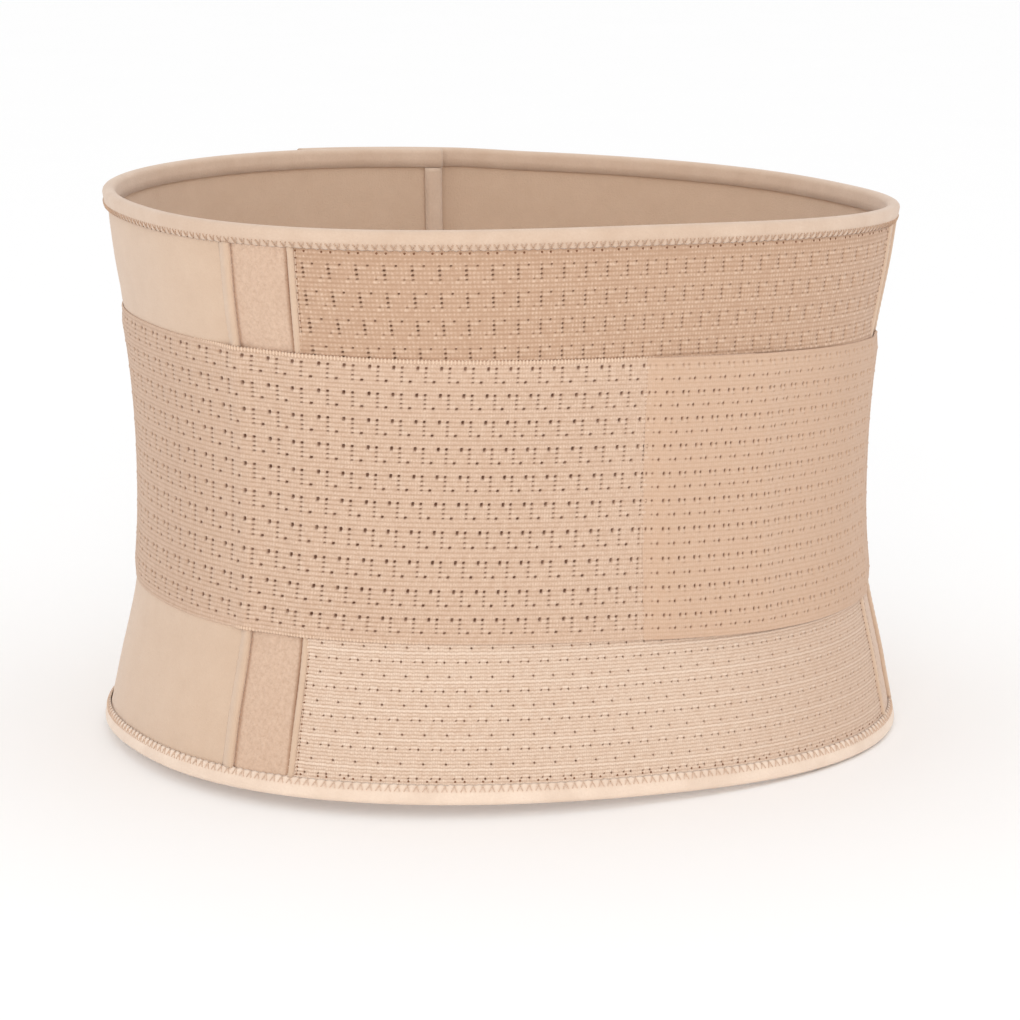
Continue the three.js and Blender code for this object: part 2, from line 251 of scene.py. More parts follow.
def knit_frame(name, tile, columns, rows, below, above, wall):
    """What closes a knit of many tiles, in the tiles' own units: the plain margins below and above,
    as (height, depth, painted groove shade or not) from the tiles outwards, the back of the fabric,
    and its ends, whose grooved rows are marked for painted shade too."""
    _, xs, side = tile
    across = np.unique(np.round((np.arange(columns)[:, None] + xs[None, :-1]).ravel(), 6))
    across = np.append(across, float(columns))
    marks = [above[-1][0]] + [float(r) for r in range(rows, -1, -2)] + [below[-1][0]]
    ring = [(float(rows), 0.0, 0)] + above + [(y, -wall, 0) for y in marks]
    ring = np.array(ring + below[::-1] + [(0.0, 0.0, 0)], float)
    x, k = np.meshgrid(across, np.arange(len(ring)), indexing="ij")
    points = [tuple(p) for p in np.stack([x, ring[k, 0], ring[k, 1]], axis=-1).reshape(-1, 3)]
    grooves = list(ring[k, 2].ravel())
    faces = [tuple(f) for f in grid_faces(len(across), len(ring))]
    for end in (0, len(across) - 1):
        base = end * len(ring)
        chain = [base + len(above) - j for j in range(len(above) + 1)]
        for row in range(rows - 1, -1, -1):
            for height, depth in side[::-1][1:]:
                if row == 0 and height == 0:
                    continue
                chain.append(len(points))
                points.append((across[end], row + height, depth))
                grooves.append(float(depth < 0))
        last = base + len(ring) - 1
        chain += [last - j for j in range(len(below) + 1)]
        backs = [base + 1 + len(above) + j for j in range(len(marks))]
        for j in range(len(marks) - 1):
            low, high = marks[j + 1] - 1e-6, marks[j] + 1e-6
            fronts = [i for i in chain if low <= points[i][1] <= high]
            faces.append(tuple([backs[j]] + fronts + [backs[j + 1]]))
    zeros = np.zeros(len(points))
    return new_object(name, points, faces, {"pit": zeros, "groove": np.array(grooves)})


def node_tree(name, sockets):
    """An empty node group with named inputs, and a Geometry output."""
    tree = bpy.data.node_groups.new(name, "GeometryNodeTree")
    tree.interface.new_socket("Geometry", in_out="OUTPUT", socket_type="NodeSocketGeometry")
    for socket, kind in sockets:
        tree.interface.new_socket(socket, in_out="INPUT", socket_type="NodeSocket" + kind)
    return tree, tree.nodes.new("NodeGroupInput"), tree.nodes.new("NodeGroupOutput")


def add_node(tree, kind, inputs=(), **settings):
    """A node with its settings, and its inputs linked or given a value."""
    node = tree.nodes.new(kind)
    for key, value in settings.items():
        setattr(node, key, value)
    for key, value in dict(inputs).items():
        if isinstance(value, bpy.types.NodeSocket):
            tree.links.new(value, node.inputs[key])
        else:
            node.inputs[key].default_value = value
    return node


def grown(obj, tree, values, material, name):
    """The plain mesh that a node tree makes of an object, which it takes the place of."""
    modifier = obj.modifiers.new("made", "NODES")
    modifier.node_group = tree
    for item in tree.interface.items_tree:
        if item.in_out == "INPUT" and item.name in values:
            modifier[item.identifier] = values[item.name]
    evaluated = obj.evaluated_get(bpy.context.evaluated_depsgraph_get())
    mesh = bpy.data.meshes.new_from_object(evaluated)
    obj.modifiers.remove(modifier)
    mesh.materials.clear()
    mesh.materials.append(material)
    mesh.name = name
    made = bpy.data.objects.new(name, mesh)
    bpy.context.scene.collection.objects.link(made)
    bpy.data.objects.remove(obj)
    return made


def smooth_outward(obj):
    """Turns a closed shell's faces outwards and shades it smooth."""
    shell = bmesh.new()
    shell.from_mesh(obj.data)
    bmesh.ops.recalc_face_normals(shell, faces=shell.faces)
    for face in shell.faces:
        face.smooth = True
    shell.to_mesh(obj.data)
    shell.free()
    return obj


def knit_tree():
    """Tiles of knit set side by side, joined to their frame and laid on a guide: one column a unit
    across, one row a unit up, and depths in millimetres off the guide."""
    tree, given, out = node_tree("Knit laid on the waist", [
        ("Geometry", "Geometry"), ("Tile", "Object"), ("Guide", "Object"), ("Columns", "Int"),
        ("Rows", "Int"), ("Spare Rows", "Float"), ("Material", "Material"),
    ])
    given = given.outputs

    def sums(a, b, operation="ADD"):
        return add_node(tree, "ShaderNodeMath", {0: a, 1: b}, operation=operation).outputs[0]

    width, height = sums(given["Columns"], -1), sums(given["Rows"], -1)
    grid = add_node(tree, "GeometryNodeMeshGrid", {
        "Size X": width, "Size Y": height,
        "Vertices X": given["Columns"], "Vertices Y": given["Rows"],
    })
    middle = add_node(tree, "ShaderNodeCombineXYZ", {
        "X": sums(width, 0.5, "MULTIPLY"), "Y": sums(height, 0.5, "MULTIPLY"),
    })
    spots = add_node(tree, "GeometryNodeTransform", {
        "Geometry": grid.outputs["Mesh"], "Translation": middle.outputs[0],
    })
    tile = add_node(tree, "GeometryNodeObjectInfo", {"Object": given["Tile"], "As Instance": True})
    tiles = add_node(tree, "GeometryNodeInstanceOnPoints", {
        "Points": spots.outputs[0], "Instance": tile.outputs["Geometry"],
    })
    real = add_node(tree, "GeometryNodeRealizeInstances", {"Geometry": tiles.outputs[0]})
    joined = add_node(tree, "GeometryNodeJoinGeometry", {"Geometry": real.outputs[0]})
    tree.links.new(given["Geometry"], joined.inputs[0])
    merged = add_node(tree, "GeometryNodeMergeByDistance", {
        "Geometry": joined.outputs[0], "Distance": 0.002,
    })
    position = add_node(tree, "GeometryNodeInputPosition").outputs[0]
    weave = add_node(tree, "GeometryNodeStoreNamedAttribute", {
        "Geometry": merged.outputs[0], "Name": "weave",
    }, data_type="FLOAT_VECTOR", domain="POINT")
    tree.links.new(position, weave.inputs["Value"])
    flat = add_node(tree, "ShaderNodeSeparateXYZ", {0: position})
    spare = given["Spare Rows"]
    u = sums(sums(flat.outputs["X"], 1), sums(given["Columns"], 2), "DIVIDE")
    v = sums(
        sums(flat.outputs["Y"], spare),
        sums(given["Rows"], sums(spare, 2, "MULTIPLY")), "DIVIDE",
    )
    uv = add_node(tree, "ShaderNodeCombineXYZ", {"X": u, "Y": v})
    guide = add_node(tree, "GeometryNodeObjectInfo", {"Object": given["Guide"]})

    def on_guide(value):
        key = add_node(tree, "GeometryNodeInputNamedAttribute", {"Name": "UVMap"},
                       data_type="FLOAT_VECTOR")
        node = add_node(tree, "GeometryNodeSampleUVSurface", {
            "Mesh": guide.outputs["Geometry"], "UV Map": key.outputs[0], "Sample UV": uv.outputs[0],
        }, data_type="FLOAT_VECTOR")
        tree.links.new(value, node.inputs["Value"])
        return node.outputs["Value"]

    out_way = add_node(tree, "GeometryNodeInputNamedAttribute", {"Name": "out"},
                       data_type="FLOAT_VECTOR").outputs[0]
    depth = sums(flat.outputs["Z"], MM, "MULTIPLY")
    offset = add_node(tree, "ShaderNodeVectorMath", {0: on_guide(out_way), "Scale": depth},
                      operation="SCALE")
    place = add_node(tree, "ShaderNodeVectorMath", {0: on_guide(position), 1: offset.outputs[0]})
    moved = add_node(tree, "GeometryNodeSetPosition", {
        "Geometry": weave.outputs[0], "Position": place.outputs[0],
    })
    whole = add_node(tree, "GeometryNodeRealizeInstances", {"Geometry": moved.outputs[0]})
    dressed = add_node(tree, "GeometryNodeSetMaterial", {
        "Geometry": whole.outputs[0], "Material": given["Material"],
    })
    tree.links.new(dressed.outputs[0], out.inputs[0])
    return tree


def knit_guide(name, columns, rows, spare, lie):
    """The surface a knit is laid on. lie(column, row) gives place, height, distance out, and the
    share of its full thickness that the knit has there."""
    u = np.linspace(-1, columns + 1, 3 * (columns + 2) + 1)
    v = np.linspace(-spare, rows + spare, 2 * int(rows + 2 * spare) + 1)
    column, row = np.meshgrid(u, v)
    place, z, out, full = lie(column, row)
    points = waist_point(angle_at(place), z, out).reshape(-1, 3)
    ways = (facing(place, z, out) * (full + 0 * place)[..., None]).reshape(-1, 3)
    guide = new_object(name, points, grid_faces(len(v), len(u)), {"out": ways})
    uv = guide.data.uv_layers.new(name="UVMap")
    flat = np.stack([(column + 1) / (columns + 2), (row + spare) / (rows + 2 * spare)], axis=-1)
    corners = np.zeros(len(guide.data.loops), int)
    guide.data.loops.foreach_get("vertex_index", corners)
    uv.data.foreach_set("uv", flat.reshape(-1, 2)[corners].astype(np.float32).ravel())
    return guide


def columns_along(table):
    """How many columns a knit has, and their places, from a table of (column, place). Beyond the
    table's ends each spare column is of one width."""
    columns, places = np.array(table).T

    def place_of(column):
        inside = np.clip(column, 0, columns[-1])
        return np.interp(inside, columns, places) + (column - inside) * SPARE_COLUMN
    return int(columns[-1]), place_of


def knit_piece(name, tile, columns, rows, below, above, wall, spare, lie, material):
    """A piece of knit, from its tile, its margins and the way it lies."""
    frame_mesh = knit_frame(name + ".frame", tile, columns, rows, below, above, wall)
    guide = knit_guide(name + ".guide", columns, rows, spare, lie)
    piece = grown(frame_mesh, KNIT_TREE, {
        "Tile": tile[0], "Guide": guide, "Columns": columns, "Rows": rows,
        "Spare Rows": float(spare), "Material": material,
    }, material, name)
    bpy.data.objects.remove(guide)
    return smooth_outward(piece)


def shader_group(name, given, made):
    """An empty shader node group with named inputs and outputs."""
    group = bpy.data.node_groups.new(name, "ShaderNodeTree")
    for socket, kind in given:
        group.interface.new_socket(socket, in_out="INPUT", socket_type="NodeSocket" + kind)
    for socket, kind in made:
        group.interface.new_socket(socket, in_out="OUTPUT", socket_type="NodeSocket" + kind)
    return group, group.nodes.new("NodeGroupInput").outputs, group.nodes.new("NodeGroupOutput")


def shader_math(tree, operation, a, b=0.0, c=0.0):
    """The result of a math node."""
    return add_node(tree, "ShaderNodeMath", {0: a, 1: b, 2: c}, operation=operation).outputs[0]


def loops_group():
    """The loops of a knit: a bead at each wale and course, broken up a little, which knits paint as
    highlight.
    """
    group, given, out = shader_group(
        "Knit loops",
        [("Weave", "Vector"), ("Wales", "Float"), ("Courses", "Float"), ("Unevenness", "Float")],
        [("Wale", "Float"), ("Bead", "Float")],
    )
    grain = add_node(group, "ShaderNodeTexNoise", {
        "Vector": given["Weave"], "Scale": 9.0, "Detail": 2.0,
    })
    shift = shader_math(group, "SUBTRACT", grain.outputs[0], 0.5)
    shift = shader_math(group, "MULTIPLY", shift, given["Unevenness"])
    parts = add_node(group, "ShaderNodeSeparateXYZ", {0: given["Weave"]})
    across = shader_math(group, "ADD", parts.outputs["X"], shift)
    upwards = shader_math(group, "ADD", parts.outputs["Y"], shift)
    wale = shader_math(group, "PINGPONG", shader_math(group, "MULTIPLY", across, given["Wales"]), 0.5)
    course = shader_math(
        group, "PINGPONG", shader_math(group, "MULTIPLY", upwards, given["Courses"]), 0.5
    )
    wale = shader_math(group, "MULTIPLY", wale, 2.0)
    course = shader_math(group, "MULTIPLY_ADD", course, -2.0, 1.0)
    bead = shader_math(group, "MULTIPLY", wale, course)
    group.links.new(wale, out.inputs["Wale"])
    group.links.new(bead, out.inputs["Bead"])
    return group


def grain_group():
    """Fine fibre grain and broad, faint unevenness of the dye, on the piece's own place."""
    group, given, out = shader_group(
        "Cloth grain",
        [("Fibre Scale", "Float"), ("Mottle Scale", "Float")],
        [("Fibre", "Float"), ("Mottle", "Float"), ("Broad", "Float")],
    )
    spot = add_node(group, "ShaderNodeTexCoord").outputs["Object"]
    for socket, scale, detail in (
        ("Fibre", given["Fibre Scale"], 3.0), ("Mottle", given["Mottle Scale"], 3.0),
        ("Broad", 14.0, 2.0),
    ):
        noise = add_node(group, "ShaderNodeTexNoise", {
            "Vector": spot, "Scale": scale, "Detail": detail, "Roughness": 0.6,
        })
        group.links.new(noise.outputs[0], out.inputs[socket])
    return group


def colour(red, green, blue):
    """A colour as a screen shows it, from 0 to 255, as the light it stands for."""
    return tuple(
        (c / 255 / 12.92 if c <= 10 else ((c / 255 + 0.055) / 1.055) ** 2.4)
        for c in (red, green, blue)
    ) + (1.0,)


def mixed(tree, amount, first, second):
    """The first colour with an amount of the second mixed in."""
    node = tree.nodes.new("ShaderNodeMix")
    node.data_type = "RGBA"
    for key, value in ((0, amount), (6, first), (7, second)):
        if isinstance(value, bpy.types.NodeSocket):
            tree.links.new(value, node.inputs[key])
        else:
            node.inputs[key].default_value = value
    return node.outputs[2]


def spread(tree, value, low, high, to_low=0.0, to_high=1.0):
    """A value's range from low to high, spread from to_low to to_high and held there beyond."""
    return add_node(tree, "ShaderNodeMapRange", {
        0: value, 1: low, 2: high, 3: to_low, 4: to_high,
    }).outputs[0]


def cloth_shader(name, sheen):
    """A material whose principled shader has a cloth's sheen, ready for its colour and bump."""
    material = bpy.data.materials.new(name)
    material.use_nodes = True
    tree = material.node_tree
    shader = tree.nodes["Principled BSDF"]
    shader.inputs["Sheen Weight"].default_value = sheen
    shader.inputs["Sheen Roughness"].default_value = 0.6
    shader.inputs["Specular IOR Level"].default_value = 0.25
    return material, tree, shader


def bumped(tree, shader, height, distance):
    """Gives a cloth its fine relief."""
    bump = add_node(tree, "ShaderNodeBump", {"Height": height, "Distance": distance, "Strength": 1.0})
    tree.links.new(bump.outputs[0], shader.inputs["Normal"])


LOOPS = loops_group()
GRAIN = grain_group()
KNIT_TREE = knit_tree()


def grain_of(tree, fibre, mottle):
    """The shared cloth grain at a material's own scales."""
    node = tree.nodes.new("ShaderNodeGroup")
    node.node_tree = GRAIN
    node.inputs["Fibre Scale"].default_value = fibre
    node.inputs["Mottle Scale"].default_value = mottle
    return node.outputs


def knit_material(name, yarn, light, groove, hole, wales, courses, bead, fade, deep=None, top=None):
    """A knit: yarn colour with lighter loops as painted highlight, darker grooves between ribs as painted
    shade, and dark holes as painted shade. fade is (from column, to column, share of the holes'
    painted shade left, share of the grooves' painted shade left), deep is (from column, to column,
    share of painted shade that darkens the yarn towards the groove colour), and above row top the
    holes' painted shade is faint."""
    material, tree, shader = cloth_shader(name, 0.15)
    weave = add_node(tree, "ShaderNodeAttribute", attribute_name="weave").outputs["Vector"]
    column, row, _ = add_node(tree, "ShaderNodeSeparateXYZ", {0: weave}).outputs
    loops = tree.nodes.new("ShaderNodeGroup")
    loops.node_tree = LOOPS
    tree.links.new(weave, loops.inputs["Weave"])
    loops.inputs["Wales"].default_value = wales
    loops.inputs["Courses"].default_value = courses
    loops.inputs["Unevenness"].default_value = 0.03
    grain = grain_of(tree, 1500.0, 380.0)
    # Painted highlight: the loops' beads and wales lighten the yarn, and also give the bump.
    loop_light = shader_math(tree, "MULTIPLY", loops.outputs["Bead"], bead)
    wale_light = shader_math(
        tree, "MULTIPLY_ADD", loops.outputs["Wale"], (1 - bead) * 0.45, (1 - bead) * 0.15
    )
    light_mask = shader_math(tree, "ADD", loop_light, wale_light)
    patches = spread(tree, grain["Mottle"], 0.35, 0.65, 0.2, 1.3)
    light_mask = shader_math(tree, "MULTIPLY", light_mask, patches)
    tint = mixed(tree, light_mask, yarn, light)
    tint = mixed(tree, spread(tree, grain["Fibre"], 0.4, 0.62, 0.0, 0.4), tint, groove)
    # Painted shade: the grooves between ribs are darkened towards the groove colour.
    in_groove = add_node(tree, "ShaderNodeAttribute", attribute_name="groove").outputs["Fac"]
    in_groove = shader_math(tree, "MULTIPLY", in_groove, spread(tree, grain["Mottle"], 0.3, 0.7, 0.95, 0.4))
    in_groove = shader_math(
        tree, "MULTIPLY", in_groove, spread(tree, column, fade[0], fade[1], 1.0, fade[3])
    )
    tint = mixed(tree, in_groove, tint, groove)
    tint = mixed(tree, spread(tree, grain["Broad"], 0.3, 0.7, 0.0, 0.25), tint, yarn)
    pit = add_node(tree, "ShaderNodeAttribute", attribute_name="pit").outputs["Fac"]
    # Painted highlight: where pit is below nought, on the raised loops, the knit is lightened.
    tint = mixed(tree, spread(tree, pit, -0.05, -0.6, 0.0, 0.9), tint, light)
    # Painted shade: over the columns in deep the yarn is darkened towards the groove colour.
    if deep:
        tint = mixed(tree, spread(tree, column, deep[0], deep[1], 0.0, deep[2]), tint, groove)
    # Painted shade: the holes are darkened to the hole colour, for the shadow seen through them.
    holes = spread(tree, pit, 0.08, 0.62)
    holes = shader_math(tree, "MULTIPLY", holes, spread(tree, grain["Mottle"], 0.3, 0.6, 0.6, 1.0))
    holes = shader_math(tree, "MULTIPLY", holes, spread(tree, column, fade[0], fade[1], 1.0, fade[2]))
    if top:
        holes = shader_math(tree, "MULTIPLY", holes, spread(tree, row, top, top + 0.2, 1.0, 0.3))
    tint = mixed(tree, holes, tint, hole)
    tree.links.new(tint, shader.inputs["Base Color"])
    tree.links.new(spread(tree, grain["Fibre"], 0.2, 0.8, 0.82, 0.96), shader.inputs["Roughness"])
    height = shader_math(tree, "MULTIPLY_ADD", grain["Fibre"], 0.5, light_mask)
    bumped(tree, shader, height, 0.00018)
    return material


knit_upper_material = knit_material(
    "knit_pinholes", colour(194, 159, 133), colour(232, 202, 176), colour(174, 137, 109),
    colour(104, 70, 48), 6.0, 6.0, 0.85, (3.0, 18.0, 0.55, 1.0),
)
knit_lower_material = knit_material(
    "knit_wavy_ribs", colour(221, 195, 173), colour(244, 222, 202), colour(188, 153, 128),
    colour(112, 74, 52), 9.0, 8.0, 0.35, (10.0, 30.0, 0.6, 1.0), (20.0, 30.0, 0.34),
)

SPARE_ROWS = 6
UPPER_ROW = 0.01065
UPPER_ROWS = 5
UPPER_MARGIN = 1.08
UPPER_SLANT = 0.11
upper_tile = knit_tile("upper.tile", 6, [
    (0.47, 5, 0.07, 0.6, 0.55, 0), (0.47, 4, 0.07, 1.1, 0.9, 0.15), (0.47, 3, 0.07, 1.1, 0.9, 0.12),
    (0.47, 2, 0.07, 0.8, 0.6, 0), (0.90, 5, 0.06, 0.9, 0.8, 0.05), (0.15, 2, 0.06, 0.6, 0.45, 0),
], 0.18, 0.0, [
    (0.54, 0.84, 4, 0.25), (0.44, 0.50, 1, 0.3), (0.09, 0.18, 1, 0.35), (0.21, 0.40, 2, 0.2),
])
upper_columns, upper_place = columns_along([
    (0, -0.1305), (0.47, -0.1259), (1.47, -0.1163), (4.47, -0.0887), (8.47, -0.0529),
    (12.47, -0.0199), (15.47, 0.0036), (18.47, 0.0275), (23.47, 0.0698), (30, 0.1305),
])


def upper_lie(column, row):
    """How the pinhole knit lies. Its columns slant on the left, where the belt is pulled round."""
    place = upper_place(column) * (1 - CLEARANCE / 2 / KNIT_SEAM)
    below = (UPPER_ROWS + UPPER_MARGIN - row) * UPPER_ROW
    slant = np.clip((-0.044 - place) / 0.076, 0, 1) * np.clip((place + KNIT_SEAM) / 0.01, 0, 1)
    place = place + UPPER_SLANT * (below - 0.026) * slant
    z = edge_height("belt_top", angle_at(place)) - TAPE_THICKNESS - CLEARANCE - below
    under = smoothstep(edge_height("strap_top", angle_at(place)) - z, -KNIT_RISE_REACH, 0.001)
    return place + seam_lean(place, z), z, KNIT_WALL + KNIT_RISE * under, 1.0


upper_knit = knit_piece(
    "back_panel_upper", upper_tile, upper_columns, UPPER_ROWS,
    [(-0.35, 0.0, 0), (-1.0, -0.3, 0), (-3.0, -0.3, 0), (-5.0, -0.3, 0)],
    [(UPPER_ROWS + k / 12, -0.22 * (k % 2), k % 2) for k in range(1, 7)]
    + [(UPPER_ROWS + UPPER_MARGIN, -0.6, 0)],
    KNIT_DEPTH / MM, SPARE_ROWS, upper_lie, knit_upper_material,
)

LOWER_ROW = 0.01088
LOWER_ROWS = 5
LOWER_MARGIN = 0.487
lower_tile = knit_tile("lower.tile", 8, [
    (0.20, 2, 0.06, 0.8, 0.75, 0.12), (0.57, 2, 0.06, 1.1, 0.9, 0.25),
    (0.82, 6, 0.06, 1.1, 0.9, 0.25),
], 0.28, 0.02, [(0.26, 0.51, 2, 0.3), (0.88, 0.9, 6, 0.3), (0.0, 1.0, 4, 0.28)])
lower_columns, lower_place = columns_along([
    (0, -0.1305), (3.57, -0.1022), (9.57, -0.0554), (13.57, -0.0254), (17.57, 0.0039),
    (20.57, 0.0254), (24.57, 0.0538), (35, 0.1305),
])


def lower_lie(column, row):
    """How the ribbed knit lies. It rises towards the left strap's edge, and is flat elsewhere."""
    place = lower_place(column) * (1 - CLEARANCE / 2 / KNIT_SEAM)
    bottom = edge_height("belt_bottom", angle_at(place)) + TAPE_THICKNESS + CLEARANCE
    z = bottom + (row + LOWER_MARGIN) * LOWER_ROW
    under = smoothstep(z - edge_height("strap_bottom", angle_at(place)), -KNIT_RISE_REACH, 0.001)
    under = under * smoothstep(-place, 0.04, 0.08)
    return place + seam_lean(place, z), z, KNIT_WALL + KNIT_RISE * under, 1.0


lower_knit = knit_piece(
    "back_panel_lower", lower_tile, lower_columns, LOWER_ROWS,
    [(-0.06, -0.3, 1), (-0.12, 0.0, 0), (-LOWER_MARGIN, -0.6, 0)],
    [(LOWER_ROWS + 0.35, 0.0, 0), (LOWER_ROWS + 1.5, -0.3, 0), (LOWER_ROWS + 3.2, -0.3, 0),
     (LOWER_ROWS + 5.0, -0.3, 0)],
    KNIT_DEPTH / MM, SPARE_ROWS, lower_lie, knit_lower_material,
)
for piece in (upper_knit, lower_knit):
    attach(piece, "root")
    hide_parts("back_panel")
for tile in (upper_tile, lower_tile):
    bpy.data.objects.remove(tile[0])

# Loop strips
# A band of brushed loop fabric is sewn in on each side of the back panel, so the hook tabs can
# also be pressed on there. Its pile is short and uneven, and a little pinker than the rest.
PANEL_SEAM = 0.156
STRIP_WALL = 0.0026
TUFT_HEIGHT = 0.0002
TUFT_SPACING = 0.0006
PINCH_DEPTH = 0.0005


def panel_bottom(place):
    """Where the cloth ends in the fold of the bottom tape."""
    return edge_height("belt_bottom", angle_at(place)) + TAPE_THICKNESS + CLEARANCE


def panel_top(place):
    """Where the cloth ends in the fold of the top tape."""
    return edge_height("belt_top", angle_at(place)) - TAPE_THICKNESS - CLEARANCE


def ring_faces(count, around):
    """Faces of a tube through rings of points, open at both ends."""
    faces = []
    for i in range(count - 1):
        for k in range(around):
            a, b = i * around + k, i * around + (k + 1) % around
            faces.append((a, a + around, b + around, b))
    return faces


def cloth_shell(name, places, shares, bottom, top, inside, outside, marks=()):
    """A closed piece of cloth: places round the waist, shares of the way up, and how far its
    inner and outer faces stand out at each. Marks are attributes by place."""
    place, share = np.meshgrid(places, shares, indexing="ij")
    z = bottom(place) + (top(place) - bottom(place)) * share
    angle = angle_at(place + seam_lean(place, z))
    outer = waist_point(angle, z, outside(place, share, z))
    inner = waist_point(angle, z, inside(place, share, z))[:, ::-1]
    ring = np.concatenate([outer, inner], axis=1)
    count, around = ring.shape[:2]
    faces = ring_faces(count, around)
    for base in (0, (count - 1) * around):
        for j in range(around // 2 - 1):
            faces.append((base + j, base + j + 1, base + around - 2 - j, base + around - 1 - j))
    values = {key: np.repeat(mark(places), around) for key, mark in dict(marks).items()}
    return smooth_outward(new_object(name, ring.reshape(-1, 3), faces, values))


def even(low, high, step):
    """Values from low to high, about a step apart."""
    return np.linspace(low, high, max(2, int(round((high - low) / step)) + 1))


def loop_pile():
    """Brushed loops: fine tufts that catch the light over a slightly darker ground, and painted shade
    where the welt seams pinch the pile.
    """
    material, tree, shader = cloth_shader("loop_pile", 0.3)
    grain = grain_of(tree, 1300.0, 700.0)
    tint = mixed(tree, spread(tree, grain["Mottle"], 0.3, 0.7), colour(196, 163, 138), colour(216, 185, 160))
    tint = mixed(tree, spread(tree, grain["Fibre"], 0.45, 0.75, 0.0, 0.4), tint, colour(224, 196, 173))
    tint = mixed(tree, spread(tree, grain["Broad"], 0.35, 0.65, 0.0, 0.3), tint, colour(201, 167, 141))
    # Painted shade: the pile is darkened to brown where the welt seams pinch it.
    crease_shade = add_node(tree, "ShaderNodeAttribute", attribute_name="crease_shade").outputs["Fac"]
    tint = mixed(tree, crease_shade, tint, colour(158, 114, 84))
    tree.links.new(tint, shader.inputs["Base Color"])
    tree.links.new(spread(tree, grain["Fibre"], 0.2, 0.8, 0.88, 1.0), shader.inputs["Roughness"])
    height = shader_math(tree, "MULTIPLY_ADD", grain["Fibre"], 0.5, grain["Mottle"])
    bumped(tree, shader, height, 0.0004)
    return material


def pinched(place):
    """Where the pile is pinched down by the seams of its two welts, from nought to one. It sinks the
    pile and sets its painted crease shade.
    """
    at_panel = 0.5 * (1 - smoothstep(PANEL_SEAM - 0.0016 - np.abs(place), 0.0002, 0.0016))
    reach = np.where(place < 0, 0.0014, 0.0036)
    at_knit = np.where(place < 0, 0.6, 1.0)
    at_knit = at_knit * (1 - smoothstep(np.abs(place) - KNIT_SEAM - 0.0012, 0.0003, reach))
    return np.maximum(at_panel, at_knit)


def pile_face(place, share, z):
    """How far out the pile's face is."""
    return STRIP_WALL - TUFT_HEIGHT * TUFTS.random(place.shape) - PINCH_DEPTH * pinched(place)


TUFTS = np.random.default_rng(7)
LOOP_PILE = loop_pile()
for side_name, side in (("left", -1), ("right", 1)):
    ends = sorted([side * (KNIT_SEAM + CLEARANCE / 2), side * (PANEL_SEAM - CLEARANCE / 2)])
    # The pinch also marks the pile for painted shade along the welts.
    strip = cloth_shell(
        "loop_pile_" + side_name, even(*ends, TUFT_SPACING), np.linspace(0, 1, 200),
        panel_bottom, panel_top, lambda place, share, z: 0 * place, pile_face, {"crease_shade": pinched},
    )
    strip.data.materials.append(LOOP_PILE)
    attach(strip, "root")
    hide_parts("loop_strip_" + side_name)

# Side panels
# Foam-backed jersey runs from the loop strips round to the front ends. It is smooth and matt,
# dips where the tape and welts are stitched down, and has slow, shallow waves from being worn.
PANEL_WALL = 0.003
FRONT_LAP = 0.06
LAP_RAMP = 0.034
LAP_LIFT = 0.0057
HOOK_MARGIN = 0.003
FRONT_END = HALF_WAIST + FRONT_LAP / 2
STITCH_PERIOD = 0.0032


def front_lift(place):
    """How far the right front end stands off to lie over the left one."""
    ramp_end = HALF_WAIST - FRONT_LAP / 2 - CLEARANCE - TAPE_THICKNESS - HOOK_MARGIN
    return LAP_LIFT * smoothstep(place, ramp_end - LAP_RAMP, ramp_end)


def stitch_pull(place):
    """How strongly the binding's seam pulls at a place: nought between stitches and one at them."""
    return 0.5 + 0.5 * np.cos(place * 2 * math.pi / STITCH_PERIOD)


def jersey(name, dark, light):
    """Foam-backed jersey: a fine, dense grain, with faint fading."""
    material, tree, shader = cloth_shader(name, 0.3)
    grain = grain_of(tree, 1400.0, 90.0)
    tint = mixed(tree, spread(tree, grain["Mottle"], 0.3, 0.7, 0.3, 0.8), dark, light)
    tint = mixed(tree, spread(tree, grain["Fibre"], 0.35, 0.7, 0.0, 0.35), tint, dark)
    tint = mixed(tree, spread(tree, grain["Broad"], 0.3, 0.7, 0.0, 0.3), tint, light)
    tree.links.new(tint, shader.inputs["Base Color"])
    tree.links.new(spread(tree, grain["Fibre"], 0.2, 0.8, 0.84, 0.97), shader.inputs["Roughness"])
    height = shader_math(tree, "MULTIPLY_ADD", grain["Mottle"], 0.6, grain["Fibre"])
    bumped(tree, shader, height, 0.00022)
    return material


def jersey_face(place, share, z):
    """How far out the jersey's outer face is: waves, and dips at its four sewn sides."""
    from_seam = np.abs(place) - PANEL_SEAM
    from_front = FRONT_END - np.abs(place)
    from_edge = np.minimum(share, 1 - share) * BELT_HEIGHT
    wave = 0.00035 * np.sin(place * 41 + z * 23) + 0.0002 * np.sin(place * 97 - z * 61 + 1.3)
    pull = 0.6 + 0.4 * stitch_pull(place)
    dip = 0.00025 * np.exp(-(((from_edge - BINDING_WIDTH) / 0.003) ** 2)) * pull
    dip += 0.0001 * np.exp(-((from_seam / 0.006) ** 2)) + 0.0004 * np.exp(-((from_front / 0.012) ** 2))
    inland = smoothstep(np.minimum(np.minimum(from_edge, from_seam), from_front), 0.002, 0.02)
    under_strap = smoothstep(edge_height("strap_top", angle_at(place)) - z, -0.008, -0.001)
    under_strap *= smoothstep(z - edge_height("strap_bottom", angle_at(place)), -0.008, -0.001)
    worn = wave * inland * (1 - 0.8 * under_strap)
    return PANEL_WALL + front_lift(place) + worn - dip - 0.0002 + 0.0002 * under_strap


